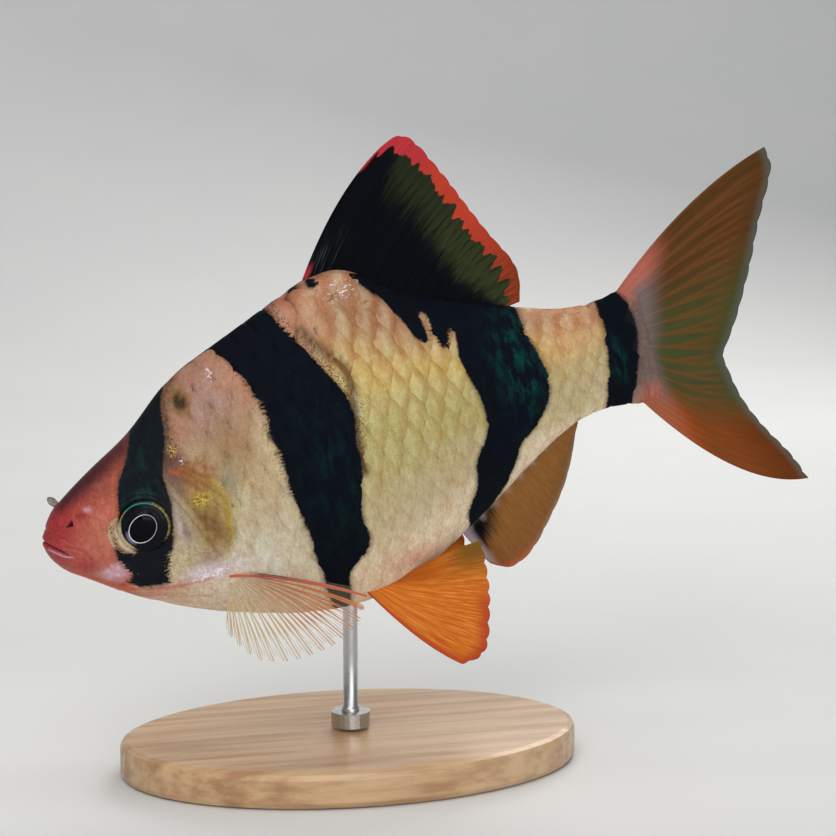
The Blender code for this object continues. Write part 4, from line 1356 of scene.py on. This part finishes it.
def build_fin(name, roots, tips, bow, rays, lean=0.0, single=1, notch=0.02, web=0.045, ray=0.05, rows=56,
              per_ray=12, wave=0.05, leading=1.0, early=0.0):
    """Sheet root + (tip - root) v, arched by bow 4 v (1 - v) in height and bent by lean v squared sideways.

    roots and tips are functions of the share across the fin, and notch cuts the margin between rays.
    bow has three heights: of the first ray, the middle one and the last.
    Its half thickness is the web's plus a bell across every branch, and both thin out to the margin.
    leading thickens the first ray, most at its root, and early lets it start within the sheet."""
    u = np.linspace(0, 1, rays * per_ray + 1)[:, None]
    v = np.linspace(0, 1, rows)[None, :] ** 0.92
    phase = u * rays - early
    between = np.abs(phase - np.round(phase)) * 2
    root, tip = roots(u[:, 0])[:, None, :], tips(u[:, 0])[:, None, :]
    reach = 1 - notch * between**2
    stretch = v * (1 + (reach - 1) * ramp(v, 0.55, 1.0))
    sheet = root + (tip - root) * stretch[..., None]
    arch = smooth(tuple(zip((0.0, 0.5, 1.0), bow)), u[:, 0])[:, None]
    sheet[..., 2] += arch * 4 * stretch * (1 - stretch)
    sheet[..., 1] += lean * stretch**2 + wave * np.sin(phase * 2.1) * v
    across, outward = np.gradient(sheet, axis=0), np.gradient(sheet, axis=1)
    normal = unit(np.cross(across, outward))
    spacing = np.linalg.norm(across, axis=-1) * per_ray
    branch = branch_distance(phase, v, single)
    thin = 1 - SHEET_TAPER * v
    lead = 1 + leading * bell(phase, 0.0, LEAD_WIDTH) * (1 - LEAD_TAPER * v)
    ridge = ray * lead * thin * bell(branch * spacing, 0, ray * 1.25 * lead)
    half = (web * thin + ridge)[..., None]
    loop = np.concatenate((sheet + normal * half, (sheet - normal * half)[::-1]), axis=0)
    loop = np.swapaxes(loop, 0, 1)
    count, around = loop.shape[:2]
    i = np.arange(around // 2 - 1)
    root_cap = np.stack((i, i + 1, around - 2 - i, around - 1 - i), axis=-1)
    faces = [grid_quads(count, around, wrap=True), root_cap[:, ::-1], root_cap + (count - 1) * around]

    def both(values):
        values = np.broadcast_to(values, sheet.shape[:2])
        return np.swapaxes(np.concatenate((values, values[::-1]), axis=0), 0, 1).ravel()

    length = np.linalg.norm(tip - root, axis=-1) * np.ones_like(v)
    fields = {
        "across": both(u), "along": both(v), "branch": both(branch),
        "to_margin": both((1 - stretch) * length), "web": both(between),
        "ray_width": both(ray * lead / np.maximum(spacing, 0.05)),
    }
    return make_piece(name, to_room(loop.reshape(-1, 3)), faces, fields)


def ridge_line(line, start, end, depth):
    """Roots of an unpaired fin: a stretch of the back or belly line, sunk into the body by depth."""
    def roots(u):
        x = start + (end - start) * u
        return np.stack((x, np.zeros_like(x), smooth(line, x) - depth), axis=-1)
    return roots


def margin(points, side=1.0):
    """Tips of a fin's rays along its margin: points of (x, z), or (x, distance from the middle, z)."""
    def tips(u):
        line = along(points, u)
        if line.shape[-1] == 2:
            return np.stack((line[:, 0], np.zeros(len(u)), line[:, 1]), axis=-1)
        return line * (1, side, 1)
    return tips


# %% [markdown]
# The finish of a fin follows its rays too: the web lets light through, the rays are denser, and
# fine joints cross each ray. A colour account for each fin says what lies near the root, in the
# middle and at the margin.

# %% Finish of the fins
def fin_finish(name, paint, web_alpha, rough=0.50, faint=False):
    """Ray and web colours from paint, with joints across the rays and a web that light passes.

    With faint, all rays but the first are as clear as the web near their roots."""
    recipe = Recipe(name)
    step, value, bump = recipe.step, recipe.value, recipe.bump
    across, along_ray = value("across"), value("along")
    branch, width = value("branch"), value("ray_width")
    distance = branch / width
    on_ray = step(distance, 1.5, 0.5)
    on_sheet = recipe.point(across * 90.0, along_ray * 4.0)
    streak = recipe.noise(1.0, 4.0, 0.65, on_sheet)
    colour, solid = paint(recipe, across, along_ray, on_ray, streak)
    joints = recipe.sum("SINE", along_ray * 190.0)
    joints = joints * (on_ray * along_ray)
    normal = bump(joints, 0.02, 0.5)
    normal = bump(streak, 0.03, 0.4, normal)
    normal = bump(recipe.noise(5.0, 3.0), 0.015, 0.4, normal)
    if faint:
        outer = step(along_ray, 0.12, 0.5, 0.12, 1.0)
        on_ray = on_ray * recipe.most(step(across, 0.13, 0.07), outer)
    clear = recipe.most(on_ray, solid)
    alpha = step(clear, 0.0, 1.0, web_alpha, 1.0)
    return recipe.shine(
        Base_Color=colour, Roughness=rough, Normal=normal, Alpha=alpha, Specular_IOR_Level=0.03)


# %% [markdown]
# The dorsal fin is black below and red above. The red band keeps its distance from the margin, so it
# follows the fin's outline, and it steps in at each ray. The anal fin is brown orange with a black
# root and a light rim.

# %% Colours of the dorsal and anal fins
def dorsal_paint(recipe, across, along_ray, on_ray, streak):
    """Black at the base and up the front, smoky webs behind, and a red band that steps in at each ray."""
    mix, step = recipe.mix, recipe.step
    to_margin, web = recipe.value("to_margin"), recipe.value("web")
    smoky = mix(streak, (0.012, 0.015, 0.006), (0.046, 0.058, 0.018))
    smoky = mix(step(across, 0.7, 0.2), smoky, (0.017, 0.024, 0.009))
    smoky = mix(on_ray * 0.7, smoky, (0.01, 0.009, 0.008))
    reach = step(across, 0.9, 0.3, 0.3, 0.62) + step(across, 0.22, 0.1, 0.0, 0.33)
    short = recipe.linear(streak, 0.5, along_ray - reach)
    black = step(short, 0.42, 0.14)
    colour = mix(black, smoky, BLACK)
    depth = step(web, 0.6, 0.1, 1.15, 1.6) + step(across, 0.3, 0.08, 0.0, 0.55)
    steps = recipe.noise(1.0, 1.0, 0.5, recipe.point(across * 22.0))
    depth = depth + step(steps, 0.3, 0.7, -0.35, 0.45)
    within = recipe.linear(streak, 0.45, to_margin) - depth
    red = step(within, 0.22, 0.1)
    front = step(across, 0.045, 0.02) * step(along_ray, 0.72, 0.8)
    red = recipe.most(red, front)
    scarlet = mix(streak, (0.52, 0.052, 0.028), (0.36, 0.036, 0.015))
    scarlet = mix(step(across, 0.38, 0.12), scarlet, (0.42, 0.028, 0.04))
    scarlet = mix(step(across, 0.55, 0.95), scarlet, (0.17, 0.034, 0.008))
    scarlet = mix(on_ray * 0.5, scarlet, (0.52, 0.045, 0.035))
    colour = mix(red, colour, scarlet)
    root = step(across, 0.045, 0.015) * step(along_ray, 0.17, 0.1)
    colour = mix(root, colour, (0.42, 0.03, 0.045))
    sheen = step(across, 0.2, 0.04) * step(along_ray, 0.38, 0.16)
    sheen = sheen * step(streak, 0.5, 0.7, 0.0, 0.5)
    colour = mix(sheen, colour, (0.1, 0.14, 0.13))
    return colour, recipe.most(black, red)


def anal_paint(recipe, across, along_ray, on_ray, streak):
    """Brown orange, with a black root, a pale lilac front edge and a light rim."""
    mix, step, linear = recipe.mix, recipe.step, recipe.linear
    web = mix(streak, (0.14, 0.062, 0.014), (0.36, 0.155, 0.045))
    colour = mix(on_ray * 0.55, web, (0.24, 0.065, 0.014))
    rim = step(recipe.value("to_margin"), 0.8, 0.1, 0.0, 0.6)
    colour = mix(rim, colour, (0.36, 0.24, 0.14))
    root = linear(across, 2.0, linear(streak, 0.4, along_ray))
    colour = mix(step(root, 1.02, 0.62), colour, BLACK)
    pale = linear(recipe.value("web"), -0.1, linear(streak, 0.2, along_ray))
    colour = mix(step(pale, 0.2, 0.06, 0.0, 0.6), colour, (0.4, 0.33, 0.27))
    colour = mix(step(across, 0.085, 0.02, 0.0, 0.9), colour, (0.42, 0.33, 0.36))
    tip = step(along_ray, 0.8, 1.0) * step(across, 0.4, 0.1)
    return mix(tip, colour, (0.5, 0.1, 0.04)), streak


# %% [markdown]
# The tail fin's two lobes have colours of their own, with olive webs between them. The pelvic fins
# are the brightest part of the fish. The breast fins are nearly clear, with a thick red first ray.

# %% Colours of the tail and paired fins
def caudal_paint(recipe, across, along_ray, on_ray, streak):
    """Red brown upper lobe, olive middle and orange lower lobe, mauve at the root and the margin."""
    mix, step = recipe.mix, recipe.step
    upper = step(across, 0.4, 0.16)
    lower = step(across, 0.62, 0.84)
    web = mix(streak, (0.026, 0.04, 0.012), (0.09, 0.09, 0.026))
    web = mix(upper, web, mix(streak, (0.05, 0.018, 0.005), (0.13, 0.058, 0.015)))
    web = mix(lower, web, mix(streak, (0.12, 0.032, 0.007), (0.27, 0.08, 0.02)))
    web = mix(lower * step(along_ray, 0.45, 0.15), web, (0.36, 0.07, 0.012))
    ray_tone = mix(lower, (0.175, 0.06, 0.018), (0.21, 0.046, 0.01))
    broad = step(recipe.value("branch"), 0.24, 0.03) * step(along_ray, 1.0, 0.6)
    colour = mix(broad * 0.55, web, ray_tone)
    colour = mix(on_ray * 0.22, colour, ray_tone)
    far = lower * step(along_ray, 0.55, 0.95, 0.0, 0.7)
    colour = mix(far, colour, (0.1, 0.026, 0.005))
    rim = step(recipe.value("to_margin"), 1.3, 0.1, 0.0, 0.8)
    colour = mix(rim, colour, (0.1, 0.105, 0.085))
    flush = step(across, 0.22, 0.04) * step(along_ray, 0.4, 0.1)
    colour = mix(flush * 0.85, colour, (0.4, 0.095, 0.06))
    root = step(recipe.linear(streak, 0.2, along_ray), 0.44, 0.22)
    root_tone = mix(step(across, 0.65, 0.92), (0.17, 0.128, 0.125), (0.34, 0.1, 0.05))
    root_tone = mix(step(across, 0.18, 0.05), root_tone, (0.42, 0.13, 0.09))
    colour = mix(root, colour, root_tone)
    return colour, recipe.most(lower, root) * 0.9


def pelvic_paint(recipe, across, along_ray, on_ray, streak):
    """Bright orange with deeper rays, rust and olive towards the last ray, and a red margin."""
    mix, step = recipe.mix, recipe.step
    web = mix(step(streak, 0.25, 0.75), (0.46, 0.07, 0.005), (0.8, 0.3, 0.045))
    colour = mix(on_ray * 0.5, web, (0.5, 0.075, 0.008))
    rust = step(across, 0.55, 0.85) * step(along_ray, 0.75, 0.3)
    colour = mix(rust * 0.85, colour, (0.38, 0.08, 0.008))
    olive = step(across, 0.66, 0.95) * step(along_ray, 0.4, 0.85)
    colour = mix(olive * 0.88, colour, (0.15, 0.08, 0.013))
    red = step(recipe.value("to_margin"), 1.8, 0.2) * step(across, 0.75, 0.45)
    red = recipe.most(red, step(across, 0.09, 0.02))
    colour = mix(red * 0.85, colour, (0.44, 0.05, 0.02))
    return colour, recipe.linear(streak, 0.5, 0.45) - olive * 0.2


def pectoral_paint(recipe, across, along_ray, on_ray, streak):
    """Clear web between orange rays that pale towards the rear, behind one thick red ray."""
    mix, step = recipe.mix, recipe.step
    rays = mix(step(across, 0.12, 0.75), (0.47, 0.12, 0.03), (0.5, 0.37, 0.19))
    rays = mix(step(across, 0.09, 0.055), rays, (0.5, 0.105, 0.06))
    upper = step(across, 0.03, 0.014) * step(along_ray, 0.1, 0.25)
    upper = upper * step(along_ray, 0.85, 0.6)
    rays = mix(upper * 0.85, rays, (0.14, 0.04, 0.05))
    web = mix(streak, (0.6, 0.48, 0.3), (0.74, 0.66, 0.5))
    solid = step(across, 0.13, 0.07) * step(along_ray, 0.06, 0.01)
    return mix(on_ray, web, rays), solid


# %% [markdown]
# A single fin needs its line of roots, sunk a little into the body, and its margin. The dorsal fin
# stands up; the anal fin leans to the far side, which is why the photo shows it short.

# %% Dorsal and anal fins
DORSAL_MARGIN = (
    (34.5, 22.4), (36.2, 22.9), (38.0, 20.8), (39.8, 16.8), (41.6, 12.8), (42.9, 9.4), (42.4, 7.2),
)
ANAL_MARGIN = ((35.1, -13.9), (36.6, -14.7), (38.6, -14.0), (41.0, -11.7), (43.5, -8.4), (45.2, -4.5))
FIN_SINK = 0.7

dorsal = build_fin(
    "dorsal_rays", ridge_line(BACK_LINE, 24.9, 40.2, FIN_SINK), margin(DORSAL_MARGIN),
    bow=(1.1, 0.55, 0.0), rays=14, single=2, leading=1.2, notch=0.012)
finish(dorsal, fin_finish("dorsal_web", dorsal_paint, 0.95), "fin_dark", "dorsal_fin")
anal = build_fin(
    "anal_rays", ridge_line(BELLY_LINE, 32.7, 44.5, -FIN_SINK), margin(ANAL_MARGIN),
    bow=(-0.3, -0.25, -0.2), rays=9, lean=2.4, rows=40)
finish(anal, fin_finish("anal_web", anal_paint, 0.93), "fin_orange", "anal_fin")

# %% [markdown]
# The tail fin has two lobes that meet in a fork. Its rays spring from a short upright line inside
# the flesh wedge, so the margins of both lobes are strung on one count of rays, upper lobe first.

# %% Tail fin
CAUDAL_FRONT = 50.6
CAUDAL_BASE = (5.6, -4.0)
UPPER_LOBE = ((66.4, 13.5), (66.7, 12.4), (65.9, 10.2), (64.0, 6.6), (61.5, 1.7), (58.7, -2.5))
LOWER_LOBE = ((58.7, -2.5), (59.2, -5.4), (60.9, -9.6), (62.7, -12.7), (63.7, -15.1))
FORK_SHARE = 0.52
CAUDAL_SWAY = 1.2


def caudal_roots(u):
    z = CAUDAL_BASE[0] + (CAUDAL_BASE[1] - CAUDAL_BASE[0]) * u
    return np.stack((np.full_like(u, CAUDAL_FRONT), np.zeros_like(u), z), axis=-1)


def caudal_tips(u):
    """Upper margin for rays above the fork and lower margin below it; the free edge sways to one side."""
    upper = along(UPPER_LOBE, np.clip(u / FORK_SHARE, 0, 1))
    lower = along(LOWER_LOBE, np.clip((u - FORK_SHARE) / (1 - FORK_SHARE), 0, 1))
    line = np.where((u < FORK_SHARE)[:, None], upper, lower)
    return np.stack((line[:, 0], np.zeros_like(u), line[:, 1]), axis=-1)


caudal = build_fin(
    "caudal_rays", caudal_roots, caudal_tips,
    bow=(1.2, -0.5, -2.2), rays=19, lean=CAUDAL_SWAY, rows=64, per_ray=10, web=0.06, ray=0.06, notch=0.012)
finish(caudal, fin_finish("caudal_web", caudal_paint, 0.94), "fin_pale", "caudal_fin")

# %% [markdown]
# The paired fins hang below. The pelvic pair opens downwards like two hands. The near breast fin is
# spread and its far twin is folded back along the body. The right ones are the left ones mirrored,
# with the right pelvic fin swung a little further back.

# %% Pelvic and breast fins
PELVIC_ROOT = ((23.6, 1.7, -11.6), (26.4, 1.4, -11.7))
PELVIC_MARGIN = (
    (29.6, 2.4, -19.9), (31.2, 2.6, -19.7), (32.6, 2.8, -17.2), (33.4, 3.0, -13.6), (33.6, 3.2, -10.1),
)
FAR_PELVIC_SWEEP = math.radians(9.0)
SPREAD_ROOT = ((13.25, 3.35, -6.1), (13.3, 2.55, -7.1))
SPREAD_MARGIN = (
    (23.1, 6.0, -10.3), (21.7, 7.0, -12.2), (19.3, 8.0, -13.1), (16.4, 8.6, -13.2), (13.2, 8.2, -12.4),
    (11.3, 7.0, -9.6),
)
CLOSED_MARGIN = (
    (23.4, 6.0, -7.6), (23.0, 6.3, -8.8), (21.4, 6.6, -9.9), (19.2, 6.8, -10.5), (16.9, 6.6, -10.6),
    (14.9, 5.8, -10.0),
)


def line_of_roots(points, side, crowding=1.0):
    """Roots between two points; a crowding under 1 leaves the first ray more room than the others."""
    first, last = (np.array(point) * (1, side, 1) for point in points)
    return lambda u: first + (last - first) * u[:, None] ** crowding


def swung(tips, pivot, angle):
    """Tips turned in the side view about pivot."""
    def turned(u):
        line = tips(u)
        x, z = line[:, 0] - pivot[0], line[:, 2] - pivot[2]
        line[:, 0] = pivot[0] + x * math.cos(angle) - z * math.sin(angle)
        line[:, 2] = pivot[2] + x * math.sin(angle) + z * math.cos(angle)
        return line
    return turned


pelvic_finish = fin_finish("pelvic_web", pelvic_paint, 0.86)
pectoral_finish = fin_finish("pectoral_web", pectoral_paint, 0.04, faint=True)
PAIRS = (("left", LEFT, 0.0, SPREAD_MARGIN), ("right", RIGHT, FAR_PELVIC_SWEEP, CLOSED_MARGIN))
for word, side, sweep, breast in PAIRS:
    tips = swung(margin(PELVIC_MARGIN, side), PELVIC_ROOT[0], sweep)
    pelvic = build_fin(
        f"pelvic_rays_{word}", line_of_roots(PELVIC_ROOT, side), tips,
        bow=(-0.8, -0.25, 0.3), rays=9, rows=48, notch=0.022)
    finish(pelvic, pelvic_finish, "fin_orange", f"pelvic_fin_{word}")
    pectoral = build_fin(
        f"pectoral_rays_{word}", line_of_roots(SPREAD_ROOT, side, 0.4), margin(breast, side),
        bow=(0.25, 1.35, 0.5), rays=15, rows=48, notch=0.07, web=0.018, wave=0.10,
        leading=6.4, per_ray=16, early=0.5)
    finish(pectoral, pectoral_finish, "fin_pale", f"pectoral_fin_{word}")


# %% [markdown]
# A small flap of skin stands between the two openings of a nostril and turns water into the rear
# one. The far one is raised, so it shows over the bridge of the snout; the near one lies flat, as
# the two small bumps behind the pit. The flap is a little curved leaf, thick at its root.

# %% Raised nostril flap
FLAP_ROOT = (2.25, 1.05, 1.75)
FLAP_TIP = (1.45, 1.25, 2.95)
FLAP_HALF_WIDTH = 0.42


def build_flap(name):
    """Leaf on a grid: half width falls as (1 - v to the power 3.2), cupped, and thinner towards its tip."""
    turn = np.linspace(0, 2 * math.pi, 28, endpoint=False)[:, None]
    v = np.linspace(0, 1, 14)[None, :]
    rise = np.array(FLAP_TIP) - np.array(FLAP_ROOT)
    ahead = unit(np.array((rise[2], 0.0, -rise[0])))
    away = unit(np.cross(ahead, rise))
    outline = np.sqrt(np.clip(1 - v**3.2, 0.0004, 1))
    half_width = FLAP_HALF_WIDTH * outline * (0.70 + 0.20 * v + 0.10 * np.sin(11 * v))
    half_thick = 0.085 * (1 - 0.8 * v) + 0.004
    cup = 0.12 * np.cos(turn) ** 2 * v
    shape = (
        (half_width * np.cos(turn))[..., None] * ahead + (half_thick * np.sin(turn) + cup)[..., None] * away
        + v[..., None] * rise
    )
    points, faces = closed_rings(np.swapaxes(np.array(FLAP_ROOT) + shape, 0, 1))
    height = np.append(np.repeat(v.ravel(), len(turn)), (0, 1))
    return make_piece(name, to_room(points), faces, {"along": height})


def flap_material():
    recipe = Recipe("nostril_skin")
    speck = recipe.noise(8.0, 4.0, 0.7)
    tip = recipe.mix(recipe.step(speck, 0.4, 0.65), (0.26, 0.24, 0.2), (0.06, 0.055, 0.045))
    colour = recipe.mix(recipe.step(recipe.value("along"), 0.15, 0.5), SALMON, tip)
    normal = recipe.bump(speck, 0.03, 0.5)
    return recipe.shine(
        Base_Color=colour, Roughness=0.35, Normal=normal, Coat_Weight=0.3, Coat_Roughness=0.15)


finish(build_flap("nostril_flap_right"), flap_material(), "flesh_head")

# %% [markdown]
# The stand is a maple plate with a steel collar. Both keep their solids. The rod is turned anew so
# that it can run up into the belly with no gap: a slim shaft with a fine bead at its foot.

# %% Stand
ROD_X = -8.0
ROD_RADIUS = 0.6
ROD_FOOT = 3.3


def build_rod():
    """Turned profile: the radius at each height, with a bead above the collar and a rounded top."""
    height = np.array((0.0, 0.0, 0.9, 1.0, 1.25, 1.5, 1.6, 6.0, 12.0, 13.1, 13.25, 13.3)) + ROD_FOOT
    radius = np.array((0.02, 1.0, 1.0, 1.15, 1.25, 1.15, 1.0, 1.0, 1.0, 1.0, 0.8, 0.02)) * ROD_RADIUS
    angle = np.linspace(0, 2 * math.pi, 40, endpoint=False)
    x = ROD_X + radius[:, None] * np.cos(angle)
    y = radius[:, None] * np.sin(angle)
    z = np.broadcast_to(height[:, None], x.shape)
    points, faces = closed_rings(np.stack((x, y, z), axis=-1))
    return make_piece("rod_turned", points * MM, faces)


def steel_material():
    """Fine turning marks round the metal: noise squeezed in height."""
    recipe = Recipe("brushed_steel")
    marks = recipe.noise(1.0, 4.0, 0.7, recipe.stretched(1.0, 1.0, 40.0))
    colour = recipe.mix(marks, (0.4, 0.4, 0.41), (0.62, 0.62, 0.61))
    rough = recipe.step(marks, 0.3, 0.7, 0.22, 0.42)
    normal = recipe.bump(marks, 0.01, 0.6)
    return recipe.shine(Base_Color=colour, Metallic=1.0, Roughness=rough, Normal=normal)


def maple_material():
    """Oiled maple: long grain lines that wander, fine pores and a soft figure across them."""
    recipe = Recipe("oiled_maple")
    mix, step, noise = recipe.mix, recipe.step, recipe.noise
    place = recipe.room()
    long_grain = recipe.stretched(60.0, 900.0, 900.0, place)
    rings = noise(1.0, 5.0, 0.6, long_grain)
    pores = noise(1.0, 3.0, 0.7, recipe.stretched(250.0, 5200.0, 5200.0, place))
    figure = noise(70.0, 2.0, 0.5, place)
    colour = mix(step(rings, 0.35, 0.68), (0.56, 0.36, 0.19), (0.36, 0.19, 0.085))
    colour = mix(step(figure, 0.35, 0.7, 0.0, 0.2), colour, (0.72, 0.55, 0.36))
    colour = mix(step(pores, 0.62, 0.75, 0.0, 0.5), colour, (0.2, 0.1, 0.045))
    rough = step(rings, 0.3, 0.7, 0.3, 0.46)
    normal = recipe.bump(pores, 0.02, 0.5)
    normal = recipe.bump(rings, 0.02, 0.4, normal)
    return recipe.shine(
        Base_Color=colour, Roughness=rough, Normal=normal, Coat_Weight=0.25, Coat_Roughness=0.2)


steel = steel_material()
finish(build_rod(), steel, "stand_steel", "stand_rod")
for node, material in (("stand_base", maple_material()), ("stand_collar", steel)):
    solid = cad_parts[node]
    solid.data.materials.clear()
    solid.data.materials.append(material)


# %% [markdown]
# The room is one pale sheet: a floor that curves up into a wall far behind, so no corner shows.

# %% Floor and backdrop
WALL_BEND = 250


def build_backdrop():
    """Profile carried sideways: flat floor, quarter circle of radius WALL_BEND, then an upright wall."""
    turn = np.linspace(0, math.pi / 2, 24)
    y = np.concatenate(((-1200.0, 150.0), 200 + WALL_BEND * np.sin(turn), (450.0,)))
    z = np.concatenate(((0.0, 0.0), WALL_BEND - WALL_BEND * np.cos(turn), (1600.0,)))
    x = np.array((-1500.0, 1500.0))
    grid = np.stack(np.broadcast_arrays(x[None, :], y[:, None], z[:, None]), axis=-1)
    mesh = bpy.data.meshes.new("backdrop")
    mesh.from_pydata((grid.reshape(-1, 3) * MM).tolist(), [], grid_quads(len(y), 2).tolist())
    mesh.shade_smooth()
    backdrop = bpy.data.objects.new("backdrop", mesh)
    bpy.context.scene.collection.objects.link(backdrop)
    recipe = Recipe("pale_paper")
    tone = recipe.noise(30.0, 3.0, 0.6, recipe.room())
    colour = recipe.mix(tone, (0.64, 0.65, 0.65), (0.7, 0.7, 0.69))
    backdrop.data.materials.append(recipe.shine(Base_Color=colour, Roughness=0.9))


build_backdrop()
